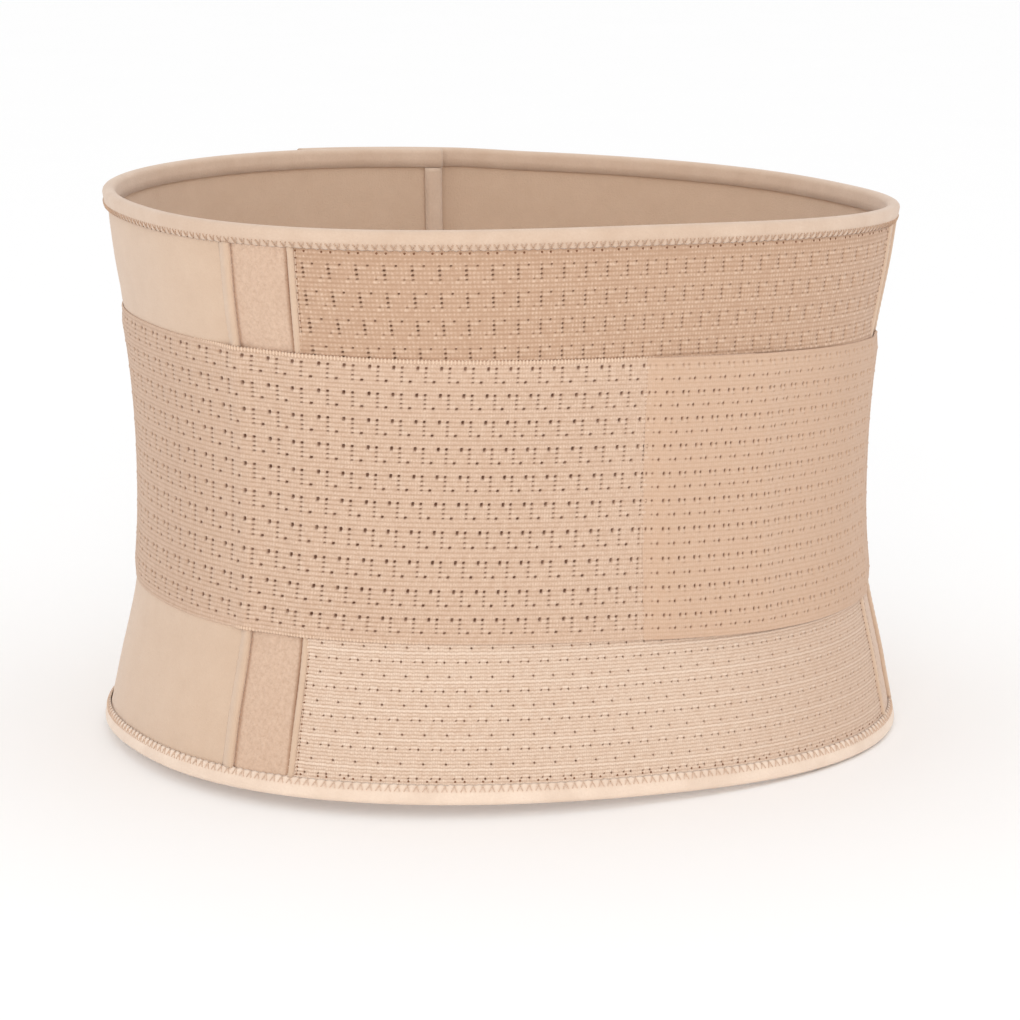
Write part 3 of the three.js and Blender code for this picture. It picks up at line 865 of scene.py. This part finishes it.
JERSEY = jersey("foam_backed_jersey", colour(202, 172, 146), colour(214, 186, 161))
for side_name, side in (("left", -1), ("right", 1)):
    ends = sorted([side * (PANEL_SEAM + CLEARANCE / 2), side * (FRONT_END - TAPE_THICKNESS - CLEARANCE)])
    shares = np.concatenate([np.linspace(0, 0.08, 8), np.linspace(0.1, 0.9, 41), np.linspace(0.92, 1, 8)])
    side_panel = cloth_shell(
        "side_jersey_" + side_name, even(*ends, 0.0027), shares, panel_bottom, panel_top,
        lambda place, share, z: front_lift(place), jersey_face,
    )
    side_panel.data.materials.append(JERSEY)
    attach(side_panel, "root")
    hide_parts("side_panel_" + side_name)

# Welts
# A narrow roll of the jersey covers each seam of the loop strips. The seam that joins the side
# panel has the wider roll. Both are stitched down along their sides, so they run a little uneven.
WELT_PINCHES = 75


def inset_bottom(place):
    """Where a piece ends above the rim of the bottom tape."""
    return edge_height("belt_bottom", angle_at(place)) + BINDING_WIDTH + CLEARANCE


def inset_top(place):
    """Where a piece ends below the rim of the top tape."""
    return edge_height("belt_top", angle_at(place)) - BINDING_WIDTH - CLEARANCE


def welt(name, side, seam, seat, section):
    """A roll up a seam, with a small pinch at every stitch. Its section is points of (distance from
    the seam, away from the back's middle, and height over its seat)."""
    section = np.array(section) * MM
    count = len(section)
    up = np.linspace(-0.004, 1.004, 150)
    share, around = np.meshgrid(up, np.arange(count), indexing="ij")
    pinch = 1 - 0.06 * np.cos(share * 2 * math.pi * WELT_PINCHES)
    wander = 0.00025 * np.sin(share * 17 + side * seam * 300)
    place = side * (seam + section[around, 0] * pinch) + wander
    z = inset_bottom(place) + (inset_top(place) - inset_bottom(place)) * share
    place = place + seam_lean(place, z)
    points = waist_point(angle_at(place), z, seat + section[around, 1] * pinch)
    faces = ring_faces(len(up), count)
    faces += [tuple(range(count)), tuple(range((len(up) - 1) * count, len(up) * count))]
    piece = smooth_outward(new_object(name + "_roll", points.reshape(-1, 3), faces))
    piece.data.materials.append(WELT_JERSEY)
    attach(piece, "root")
    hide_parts(name)


WELT_JERSEY = jersey("welt_jersey", colour(200, 170, 144), colour(216, 188, 163))
for side_name, side in (("left", -1), ("right", 1)):
    welt("panel_welt_" + side_name, side, PANEL_SEAM, 0.0029, [
        (-1.5, -1.0), (-1.6, 0.1), (-1.5, 0.7), (-1.1, 1.15), (-0.5, 1.35), (0.2, 1.3),
        (1.1, 1.0), (2.1, 0.5), (3.1, 0.05), (3.6, -0.25), (0.5, -0.4),
    ])
    welt("knit_welt_" + side_name, side, KNIT_SEAM, 0.0025, [
        (-1.2, -0.6), (-1.3, 0.0), (-1.05, 0.5), (-0.65, 0.85), (-0.1, 1.0), (0.4, 0.9),
        (0.8, 0.65), (1.1, 0.2), (1.2, -0.3), (1.2, -1.0), (0.0, -0.6),
    ])

# Edge bindings
# Soft tape is folded over the top and bottom edges and up both front ends, and held by a zigzag
# seam, which pulls its rim into scallops.
BINDING_ROUND = 0.0021


def tape_cloth(name, dark, light):
    """Soft folded tape: smooth, lighter than the panels, with a faint cross grain."""
    material, tree, shader = cloth_shader(name, 0.3)
    grain = grain_of(tree, 1300.0, 70.0)
    tint = mixed(tree, spread(tree, grain["Mottle"], 0.3, 0.7, 0.3, 1.0), dark, light)
    tint = mixed(tree, spread(tree, grain["Fibre"], 0.35, 0.7, 0.0, 0.35), tint, dark)
    tree.links.new(tint, shader.inputs["Base Color"])
    tree.links.new(spread(tree, grain["Fibre"], 0.2, 0.8, 0.82, 0.95), shader.inputs["Roughness"])
    height = shader_math(tree, "MULTIPLY_ADD", grain["Mottle"], 0.5, grain["Fibre"])
    bumped(tree, shader, height, 0.0002)
    return material


TAPE_OUTSIDE = 0.0042
TAPE_INSIDE = -0.0012
TAPE_CLOTH = tape_cloth("soft_tape", colour(203, 174, 150), colour(217, 191, 169))
# A lighter copy of the tape for the bottom binding: painted light, brightening the tape that faces down.
BOTTOM_TAPE_PAINTED_LIGHT = tape_cloth("soft_tape_painted_light", colour(221, 196, 175), colour(239, 217, 197))


def wall_at(place):
    """How far out the fabric's face is beside the bindings."""
    place = np.abs(place)
    wall = np.where(place < KNIT_SEAM, KNIT_WALL, np.where(place < PANEL_SEAM, STRIP_WALL, PANEL_WALL))
    return wall - 0.0001


def tape_face(back, seat):
    """How far out the tape's outer face is, at a distance back from its fold."""
    backs = (0.0046, BINDING_WIDTH - 0.0018, BINDING_WIDTH - 0.0005, BINDING_WIDTH + 0.0001)
    return np.interp(back, backs, (TAPE_OUTSIDE - 0.0002, seat + 0.0013, seat + 0.0009, seat + 0.0003))


def tape_section(pull, seat):
    """The folded tape in section, as (distance out, distance back from the edge), going round its
    outer face, over the fold, down the inside and back along the cavity. pull scallops its rim,
    which lies on the fabric's face at the seat."""
    middle, half = (TAPE_OUTSIDE + TAPE_INSIDE) / 2, (TAPE_OUTSIDE - TAPE_INSIDE) / 2
    turned = np.linspace(0, math.pi, 9)
    rim = BINDING_WIDTH - 0.0005 * pull
    fold = [(middle + half * math.cos(a), BINDING_ROUND * (1 - math.sin(a))) for a in turned]
    outer = [
        (seat + 0.0003, rim + 0.0001), (seat + 0.0009 - 0.0001 * pull, rim - 0.0005),
        (seat + 0.0013 - 0.0002 * pull, rim - 0.0018), (TAPE_OUTSIDE - 0.0002, 0.0046),
    ]
    inner = [
        (TAPE_INSIDE, 0.0045), (TAPE_INSIDE, BINDING_WIDTH), (-CLEARANCE, BINDING_WIDTH),
        (-CLEARANCE, TAPE_THICKNESS), (PANEL_WALL + CLEARANCE, TAPE_THICKNESS),
        (PANEL_WALL + CLEARANCE, 0.0045), (seat + 0.0002, rim - 0.0003),
    ]
    return np.array(outer + fold + inner)


def tape_along(node, rings, material):
    """The tape through rings of points, each its section at one place, with closed ends."""
    count, around = rings.shape[:2]
    faces = ring_faces(count, around)
    faces += [tuple(range(around)), tuple(range((count - 1) * around, count * around))]
    piece = smooth_outward(new_object(node + "_tape", rings.reshape(-1, 3), faces))
    piece.data.materials.append(material)
    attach(piece, "root")
    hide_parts(node)
    return piece


for name, edge, upwards in (("top_binding", "belt_top", 1), ("bottom_binding", "belt_bottom", -1)):
    places = even(-FRONT_END, FRONT_END, 0.0012)
    rings = []
    for place in places:
        section = tape_section(stitch_pull(place), float(wall_at(place)))
        z = edge_height(edge, angle_at(place)) - upwards * section[:, 1]
        rings.append(waist_point(angle_at(place), z, section[:, 0] + front_lift(place)))
    binding = tape_along(name, np.array(rings), TAPE_CLOTH if upwards > 0 else BOTTOM_TAPE_PAINTED_LIGHT)

for side_name, side in (("left", -1), ("right", 1)):
    rings = []
    for share in np.linspace(0, 1, 110):
        section = tape_section(stitch_pull(share * 0.2), PANEL_WALL - 0.0001)
        place = side * (FRONT_END - section[:, 1])
        z = inset_bottom(place) + (inset_top(place) - inset_bottom(place)) * share
        rings.append(waist_point(angle_at(place), z, section[:, 0] + front_lift(side * FRONT_END)))
    name = "end_binding_" + side_name
    binding = tape_along(name, np.array(rings), TAPE_CLOTH)

# Seam stitching
# The bindings are held by a zigzag seam, and the welts by straight rows. The thread sinks into a
# needle hole at each end of a stitch and stands a little proud between.
def thread_tree():
    """A thread along a line of points."""
    tree, given, out = node_tree(
        "Sewing thread", [("Geometry", "Geometry"), ("Radius", "Float"), ("Material", "Material")]
    )
    given = given.outputs
    curve = add_node(tree, "GeometryNodeMeshToCurve", {0: given["Geometry"]})
    section = add_node(tree, "GeometryNodeCurvePrimitiveCircle", {
        "Resolution": 5, "Radius": given["Radius"],
    })
    tube = add_node(tree, "GeometryNodeCurveToMesh", {
        "Curve": curve.outputs[0], "Profile Curve": section.outputs[0], "Fill Caps": True,
    })
    whole = add_node(tree, "GeometryNodeRealizeInstances", {0: tube.outputs[0]})
    dressed = add_node(tree, "GeometryNodeSetMaterial", {
        "Geometry": whole.outputs[0], "Material": given["Material"],
    })
    tree.links.new(dressed.outputs[0], out.inputs[0])
    return tree


def bead_tree():
    """A small shape at each point, upright, turned to face the way the fabric does."""
    tree, given, out = node_tree("Set along an edge", [
        ("Geometry", "Geometry"), ("Shape", "Object"), ("Size", "Float"), ("Material", "Material"),
    ])
    given = given.outputs
    way = add_node(tree, "GeometryNodeInputNamedAttribute", {"Name": "out"}, data_type="FLOAT_VECTOR")
    turned = add_node(tree, "FunctionNodeAlignRotationToVector", {"Vector": way.outputs[0]}, axis="Z")
    upright = add_node(tree, "FunctionNodeAlignRotationToVector", {
        "Rotation": turned.outputs[0], "Vector": (0, 0, 1),
    }, axis="Y", pivot_axis="Z")
    shape = add_node(tree, "GeometryNodeObjectInfo", {"Object": given["Shape"], "As Instance": True})
    shapes = add_node(tree, "GeometryNodeInstanceOnPoints", {
        "Points": given["Geometry"], "Instance": shape.outputs["Geometry"],
        "Rotation": upright.outputs[0], "Scale": given["Size"],
    })
    whole = add_node(tree, "GeometryNodeRealizeInstances", {0: shapes.outputs[0]})
    dressed = add_node(tree, "GeometryNodeSetMaterial", {
        "Geometry": whole.outputs[0], "Material": given["Material"],
    })
    tree.links.new(dressed.outputs[0], out.inputs[0])
    return tree


THREAD_TREE = thread_tree()
BEAD_TREE = bead_tree()
THREAD_RADIUS = 0.0002
THREAD_SINK = 0.0003
WELT_STITCH = 0.0027
BINDING_STITCH = ((-0.0011, 0.0027), (0.0, 0.0004), (0.0010, 0.0029))


def thread_material(name, dark, light):
    """Spun thread: a plain tone broken by the twist of its plies."""
    material, tree, shader = cloth_shader(name, 0.2)
    grain = grain_of(tree, 1600.0, 300.0)
    tint = mixed(tree, spread(tree, grain["Fibre"], 0.3, 0.7), dark, light)
    tree.links.new(tint, shader.inputs["Base Color"])
    tree.links.new(spread(tree, grain["Mottle"], 0.2, 0.8, 0.7, 0.9), shader.inputs["Roughness"])
    bumped(tree, shader, grain["Fibre"], 0.0001)
    return material


def needle_hole_shadow():
    """The shadowed inside of a needle hole."""
    material, tree, shader = cloth_shader("needle_hole", 0.0)
    grain = grain_of(tree, 900.0, 300.0)
    rim = colour(140, 98, 72)
    tint = mixed(tree, grain["Mottle"], rim, tuple(0.7 * c for c in rim[:3]) + (1,))
    tree.links.new(tint, shader.inputs["Base Color"])
    shader.inputs["Roughness"].default_value = 1.0
    return material


SEAM_THREAD = thread_material("seam_thread", colour(184, 149, 121), colour(206, 174, 148))
# Thread coloured dark brown as painted shade, for the crevices beside the knit welts.
SHADE_BROWN_THREAD = thread_material("brown_thread_painted_shade", colour(150, 110, 82), colour(174, 134, 106))
PALE_THREAD = thread_material("pale_thread", colour(205, 174, 149), colour(228, 201, 178))
PICOT_YARN = thread_material("picot_yarn", colour(218, 187, 160), colour(234, 207, 182))
NEEDLE_HOLE_SHADE = needle_hole_shadow()


def stitched(name, holes, loose, material):
    """Thread from hole to hole. Each hole is (place, height, out) and a row is one thread, which
    stands proud by loose half way along a stitch."""
    points, edges = [], []
    course = ((0, -THREAD_SINK), (0.12, loose * 0.7), (0.5, loose), (0.88, loose * 0.7))
    for row in holes:
        row = np.array(row)
        first = len(points)
        for a, b in zip(row[:-1], row[1:]):
            for share, proud in course:
                spot = a + (b - a) * share
                spot[2] += proud
                points.append(spot)
        edges += [(k, k + 1) for k in range(first, len(points) - 1)]
    points = np.array(points)
    places = waist_point(angle_at(points[:, 0]), points[:, 1], points[:, 2])
    line = new_object(name + ".line", places, [])
    line.data.edges.add(len(edges))
    line.data.edges.foreach_set("vertices", np.array(edges).ravel())
    piece = grown(line, THREAD_TREE, {"Radius": THREAD_RADIUS, "Material": material}, material, name)
    piece = smooth_outward(piece)
    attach(piece, "root")
    return piece


def small_dome(name, flat, tall=1.0):
    """A shallow closed dome, two rings of six, to stand at a point."""
    points = [(0, 0, flat), (0, 0, -flat)]
    for height, width in ((flat * 0.6, 0.7), (-flat * 0.2, 1.0)):
        points += [
            (width * math.cos(k * math.pi / 3), tall * width * math.sin(k * math.pi / 3), height)
            for k in range(6)
        ]
    faces = []
    for k in range(6):
        n = (k + 1) % 6
        faces += [(0, 2 + k, 2 + n), (2 + k, 8 + k, 8 + n, 2 + n), (8 + k, 1, 8 + n)]
    return smooth_outward(new_object(name, points, faces))


def set_along(name, spots, shape, size, material):
    """The same small shape at many spots, which are (place, height, out)."""
    spots = np.array(spots)
    points = waist_point(angle_at(spots[:, 0]), spots[:, 1], spots[:, 2])
    ways = facing(spots[:, 0], spots[:, 1], spots[:, 2])
    seeds = new_object(name + ".spots", points, [], {"out": ways})
    piece = smooth_outward(grown(
        seeds, BEAD_TREE, {"Shape": shape, "Size": size, "Material": material}, material, name
    ))
    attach(piece, "root")
    return piece


# Dark domes stand at the needle holes: painted shade for the shadow inside each hole.
hole_shape = small_dome("hole.shape", 0.35)
for name, edge, upwards in (("top", "belt_top", 1), ("bottom", "belt_bottom", -1)):
    stitches, marks = [], []
    first = math.ceil(-(FRONT_END - 0.012) / STITCH_PERIOD)
    for n in range(first, -first + 1):
        foot, stitch = n * STITCH_PERIOD, []
        for beside, inward in BINDING_STITCH:
            place, deep = foot + beside, BINDING_WIDTH - inward
            z = edge_height(edge, angle_at(place)) - upwards * deep
            stitch.append((place, z, tape_face(deep, wall_at(place)) + 0.0001 + front_lift(place)))
        stitches.append(stitch)
        if abs(foot) < KNIT_SEAM and n % 3:
            z = edge_height(edge, angle_at(foot)) - upwards * (BINDING_WIDTH + 0.0009)
            marks.append((foot, z, wall_at(foot) + 0.00005))
    thread = SEAM_THREAD if upwards > 0 else PALE_THREAD
    stitched(name + "_binding_seam", stitches, 0.0002, thread)
    set_along(name + "_needle_holes", marks, hole_shape, 0.0005, NEEDLE_HOLE_SHADE)

for side_name, side in (("left", -1), ("right", 1)):
    # The outer row's dark brown thread is painted shade, for the crevice between the knit welt and the loop
    # strip.
    for row_name, beside, out, thread in (
        ("outer", 0.0009, 0.0031, SHADE_BROWN_THREAD), ("inner", -0.0018, KNIT_WALL, PALE_THREAD),
    ):
        place = side * (KNIT_SEAM + beside)
        low, high = float(inset_bottom(place)), float(inset_top(place))
        heights = np.arange(low + 0.0005, high, WELT_STITCH)
        row = [(place + float(seam_lean(place, z)), z, out) for z in heights]
        stitched("welt_seam_" + row_name + "_" + side_name, [row], 0.0001, thread)
    marks = [(spot - side * 0.0001, z, out) for spot, z, out in row]
    set_along("welt_needle_holes_" + side_name, marks, hole_shape, 0.00045, NEEDLE_HOLE_SHADE)

# Front hook strip
# A wide strip of nylon hook fastener is sewn inside the right front end. It is pressed down on the
# left end where the two lap, and so closes the belt.
def hook_cloth():
    """Hook fastener tape: rows of stiff little hooks on a matt ground."""
    material, tree, shader = cloth_shader("hook_tape", 0.15)
    grain = grain_of(tree, 1500.0, 500.0)
    spot = add_node(tree, "ShaderNodeTexCoord").outputs["Object"]
    dots = add_node(tree, "ShaderNodeTexVoronoi", {"Vector": spot, "Scale": 700.0, "Randomness": 0.35})
    hooks = spread(tree, dots.outputs["Distance"], 0.1, 0.5, 1.0, 0.0)
    tint = mixed(tree, hooks, colour(200, 164, 134), colour(234, 204, 176))
    tint = mixed(tree, spread(tree, grain["Broad"], 0.3, 0.7, 0.0, 0.3), tint, colour(222, 188, 158))
    tree.links.new(tint, shader.inputs["Base Color"])
    tree.links.new(spread(tree, grain["Fibre"], 0.2, 0.8, 0.7, 0.9), shader.inputs["Roughness"])
    bumped(tree, shader, shader_math(tree, "MULTIPLY_ADD", grain["Fibre"], 0.3, hooks), 0.0004)
    return material


HOOK_CLOTH = hook_cloth()
reach = FRONT_LAP / 2 - BINDING_WIDTH - HOOK_MARGIN
hook_strip = cloth_shell(
    "front_hooks", even(HALF_WAIST - reach, HALF_WAIST + reach, 0.0025), np.linspace(0, 1, 60),
    lambda place: inset_bottom(place) + HOOK_MARGIN, lambda place: inset_top(place) - HOOK_MARGIN,
    lambda place, share, z: PANEL_WALL + CLEARANCE + 0 * place,
    lambda place, share, z: LAP_LIFT - CLEARANCE - 0.0004 * (np.abs(share * 2 - 1) > 0.99),
)
hook_strip.data.materials.append(HOOK_CLOTH)
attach(hook_strip, "root")
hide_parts("front_hook_strip")

# Pull straps
# Two bands of strong elastic knit pull the belt in. Each starts at the back, the right one lapped
# over the end of the left, and ends in a hook tab near the front. Their ribs run along the strap
# and repeat an L of pinholes and two larger holes, drawn closer together where they start.
STRAP_WALL = 0.0016
STRAP_SEAT = PANEL_WALL + CLEARANCE
STRAP_LAP = 0.0455
STRAP_ROWS = 10
STRAP_DRIFT = 0.005
PANEL_WELT_CREST = 0.0043
KNIT_WELT_CREST = 0.0036
RIGHT_START = -0.0028
START_SINK = 0.00045
SLACK_CURL = 0.001
SELVAGE = 0.008
SELVAGE_THIN = 0.3
TAB_LENGTH = 0.048
TAB_FRONT = HALF_WAIST - 0.074
STRAP_FRONT = TAB_FRONT - TAB_LENGTH
PICOT_SIZE = 0.00052
PICOT_STEP = 0.0013
PICOTS_FROM = -0.18


def welt_lift(place):
    """How far a strap rises over the welts beneath it."""
    def rise(seam, crest):
        distance = (np.abs(place) - seam - np.where(place < 0, 0.0022, 0.003)) / 0.005
        return max(0, crest + CLEARANCE - STRAP_SEAT) * np.exp(-distance * distance)
    return np.maximum(rise(PANEL_SEAM, PANEL_WELT_CREST), rise(KNIT_SEAM, KNIT_WELT_CREST))


def strap_lift(place):
    """How far the right strap rises over the end of the left one."""
    return (STRAP_WALL + CLEARANCE) * (1 - smoothstep(place, STRAP_LAP + 0.003, STRAP_LAP + 0.021))


# Rows of the straps' knit, each with its share of the way up the strap
STRAP_HEIGHTS = np.array([
    (-1, -0.1), (-0.03, 0), (0.9167, 0.088), (1.9167, 0.186), (2.9167, 0.288), (3.9167, 0.394),
    (4.9167, 0.494), (5.9167, 0.590), (6.9167, 0.688), (7.9167, 0.784), (8.9167, 0.878),
    (9.9167, 0.972), (10.18, 1), (11, 1.08),
]).T
strap_tile = knit_tile("strap.tile", 6, [
    (0.19, 5, 0.075, 1.2, 1.0, 0.25), (0.19, 4, 0.075, 0.8, 0.55, 0.05), (0.19, 3, 0.075, 0.8, 0.55, 0.05),
    (0.19, 2, 0.075, 0.8, 0.55, 0.05), (0.55, 2, 0.08, 1.2, 1.0, 0.2), (0.84, 5, 0.08, 1.4, 1.0, 0.55),
], 0.2, 0.0, [(0.92, 1.0, 4, 0.25), (0.0, 0.115, 4, 0.25), (0.265, 0.47, 2, 0.25), (0.265, 0.27, 3, 0.25)])
lapped_tile = knit_tile("lapped.tile", 6, [
    (0.20, 5, 0.08, 1.2, 0.95, 0.4), (0.55, 5, 0.08, 1.0, 0.85, 0.2), (0.55, 4, 0.08, 0.4, 0.25, 0),
    (0.55, 2, 0.08, 0.6, 0.5, 0.08), (0.88, 2, 0.08, 1.1, 0.95, 0.25),
], 0.06, 0.0, [(0.28, 0.47, 4, 0.3), (0.63, 0.8, 2, 0.25)])
strap_material = knit_material(
    "strap_ribs", colour(210, 179, 155), colour(235, 208, 185), colour(178, 143, 117),
    colour(108, 72, 52), 8.0, 6.0, 0.4, (24.0, 33.0, 0.8, 0.5), (14.0, 9.0, 0.28),
)
lapped_material = knit_material(
    "lapped_strap_ribs", colour(207, 173, 147), colour(220, 190, 165), colour(193, 158, 131),
    colour(124, 88, 66), 8.0, 6.0, 0.3, (8.0, 17.0, 0.4, 1.0), (9.0, 16.0, 0.5), 9.6,
)


def strap(side_name, tile, table, drift, lift, full, material):
    """One strap's band of knit, whose columns drift along it from bottom to top. lift gives how far
    it is raised at a place, over a strap beneath that has a share of its full thickness."""
    count, place_of = columns_along(table)
    ends = table[0][1], table[-1][1]

    def lie(column, row):
        share = np.interp(row, *STRAP_HEIGHTS)
        place = place_of(column)
        free = smoothstep(place, ends[0], ends[0] + 0.08) * (1 - smoothstep(place, ends[1] - 0.03, ends[1]))
        place = place + drift * free * (share - 0.2)
        low = edge_height("strap_bottom", angle_at(place))
        high = edge_height("strap_top", angle_at(place))
        inland = smoothstep(np.minimum(share, 1 - share) * STRAP_WIDTH, -0.001, SELVAGE)
        beneath = SELVAGE_THIN + (1 - SELVAGE_THIN) * inland
        thick = full(place) * beneath
        seat = STRAP_SEAT - 0.00025 * (1 - inland)
        out = seat + STRAP_WALL * thick + lift(place, beneath)
        return place, low + share * (high - low), out, thick

    band = knit_piece(
        "strap_band_" + side_name, tile, count, STRAP_ROWS,
        [(-0.015, -0.3, 0), (-0.03, -1.1, 0)],
        [(STRAP_ROWS + 0.07, -0.3, 1), (STRAP_ROWS + 0.12, 0.0, 0), (STRAP_ROWS + 0.155, -0.3, 0),
         (STRAP_ROWS + 0.18, -1.1, 0)],
        STRAP_WALL / MM, 1, lie, material,
    )
    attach(band, "root")
    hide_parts("strap_" + side_name)
    return band


def lapped_full(place):
    """The share of its full thickness that the right strap has, pressed thin where it starts."""
    return 0.05 + 0.95 * smoothstep(place, RIGHT_START, 0.008)


def lapped_lift(place, beneath):
    """How far the right strap is raised: over the welts and the left strap, and a little more
    along its free edges where it is slack. Its start sinks into the left strap."""
    slack = smoothstep(place, -0.02, 0.02) * (1 - smoothstep(place, 0.07, 0.1))
    curl = SLACK_CURL * (1 - beneath) * slack
    sink = START_SINK * (1 - lapped_full(place))
    return welt_lift(place) + strap_lift(place) * beneath + curl - sink


picot_shape = small_dome("picot.shape", 0.8, 2.2)
left_strap = strap(
    "left", strap_tile,
    [(0, -STRAP_FRONT + CLEARANCE), (6.84, -0.2259), (9.84, -0.193), (11.84, -0.1698),
     (13.84, -0.1484), (15.84, -0.1284), (17.84, -0.1098), (19.84, -0.0927), (22.84, -0.0674),
     (25.84, -0.0433), (27.84, -0.0247), (29.84, -0.0076), (37, STRAP_LAP)],
    STRAP_DRIFT, lambda place, beneath: welt_lift(place), lambda place: 1.0 + 0 * place,
    strap_material,
)
spots = []
for edge, inward, sunk, last in (
    ("strap_top", -0.0006, 0.0, 0.0), ("strap_bottom", 0.0007, 0.00025, -0.075),
):
    for place in even(PICOTS_FROM, last, PICOT_STEP):
        pressed = 0.0005 * smoothstep(-place, 0.16, -PICOTS_FROM)
        pressed += 0.0004 * smoothstep(place, last - 0.02, last)
        out = STRAP_SEAT + 0.0003 - sunk + float(welt_lift(place)) - pressed
        spots.append((place, edge_height(edge, angle_at(place)) + inward, out))
picots = set_along("strap_picots_left", spots, picot_shape, PICOT_SIZE, PICOT_YARN)
right_strap = strap(
    "right", lapped_tile,
    [(0, RIGHT_START), (0.2, -0.0015), (1.2, 0.0052), (9.2, 0.058), (12.3, 0.0788), (16.3, 0.1085),
     (22.3, 0.164), (35, STRAP_FRONT - CLEARANCE)],
    0.0, lapped_lift, lapped_full, lapped_material,
)

# Strap tabs
# The front end of each strap is a flat tab of hook fastener with rounded corners, sewn to the
# knit by two rows of stitches. It grips the side panel where it is pressed down.
TAB_CORNER = 0.026
TAB_WALL = 0.0018


def tab_inset(place):
    """How far the rounded corners draw a tab's edges in."""
    turned = np.clip(1 - (TAB_FRONT - np.abs(place)) / TAB_CORNER, 0, 1)
    return TAB_CORNER * (1 - np.sqrt(1 - turned * turned))


for side_name, side in (("left", -1), ("right", 1)):
    near_front = TAB_FRONT - TAB_CORNER * (1 - np.cos(np.linspace(0, math.pi / 2, 24)))[::-1]
    places = np.concatenate([np.linspace(STRAP_FRONT, TAB_FRONT - TAB_CORNER, 12)[:-1], near_front])
    tab = cloth_shell(
        "tab_hooks_" + side_name, np.sort(side * places), np.linspace(0, 1, 50),
        lambda place: edge_height("strap_bottom", angle_at(place)) + tab_inset(place),
        lambda place: edge_height("strap_top", angle_at(place)) - tab_inset(place),
        lambda place, share, z: STRAP_SEAT + 0 * place,
        lambda place, share, z: STRAP_SEAT + TAB_WALL - 0.0006 * (np.abs(share * 2 - 1) > 0.97),
    )
    tab.data.materials.append(HOOK_CLOTH)
    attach(tab, "root")
    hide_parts("strap_tab_" + side_name)
    rows = []
    for beside, out in ((-0.0015, STRAP_SEAT + STRAP_WALL), (0.002, STRAP_SEAT + TAB_WALL)):
        place = side * (STRAP_FRONT + beside)
        low, high = (float(edge_height(e, angle_at(place))) for e in ("strap_bottom", "strap_top"))
        rows.append([(place, z, out) for z in np.arange(low + 0.002, high - 0.001, 0.003)])
    stitched("strap_tab_seam_" + side_name, rows, 0.0002, SEAM_THREAD)

for spare in (strap_tile[0], lapped_tile[0], hole_shape, picot_shape):
    bpy.data.objects.remove(spare)

# Floor and light
# A plain pale floor under a pale studio, with a broad soft light from above the camera and a
# weaker one from further to its right.
FLOOR_LEVEL = -0.1134
FLOOR_REACH = 4
floor = new_object(
    "floor",
    [(FLOOR_REACH * x, FLOOR_REACH * y, FLOOR_LEVEL) for x, y in ((-1, -1), (1, -1), (1, 1), (-1, 1))],
    [(0, 1, 2, 3)],
)
floor_material, floor_tree, floor_shader = cloth_shader("pale_floor", 0.0)
floor_grain = grain_of(floor_tree, 60.0, 8.0)
floor_tint = mixed(floor_tree, floor_grain["Mottle"], (0.98, 0.98, 0.98, 1), (0.99, 0.99, 0.99, 1))
floor_tree.links.new(floor_tint, floor_shader.inputs["Base Color"])
floor_shader.inputs["Roughness"].default_value = 0.9
floor.data.materials.append(floor_material)
world = bpy.data.worlds.new("studio")
world.use_nodes = True
world.node_tree.nodes["Background"].inputs["Color"].default_value = (1, 1, 1, 1)
world.node_tree.nodes["Background"].inputs["Strength"].default_value = 1.0
bpy.context.scene.world = world


def soft_light(name, place, size, power):
    """A round soft light that shines on the middle of the belt."""
    light = bpy.data.lights.new(name, "AREA")
    light.shape = "DISK"
    light.size = size
    light.energy = power
    lamp = bpy.data.objects.new(name, light)
    lamp.location = place
    lamp.rotation_mode = "QUATERNION"
    lamp.rotation_quaternion = Vector(place).to_track_quat("Z", "Y")
    bpy.context.scene.collection.objects.link(lamp)


soft_light("key", (-1.2, -2.1, 0.7), 1.4, 12)
soft_light("fill", (0.3, -2.3, 0.3), 1.6, 2)
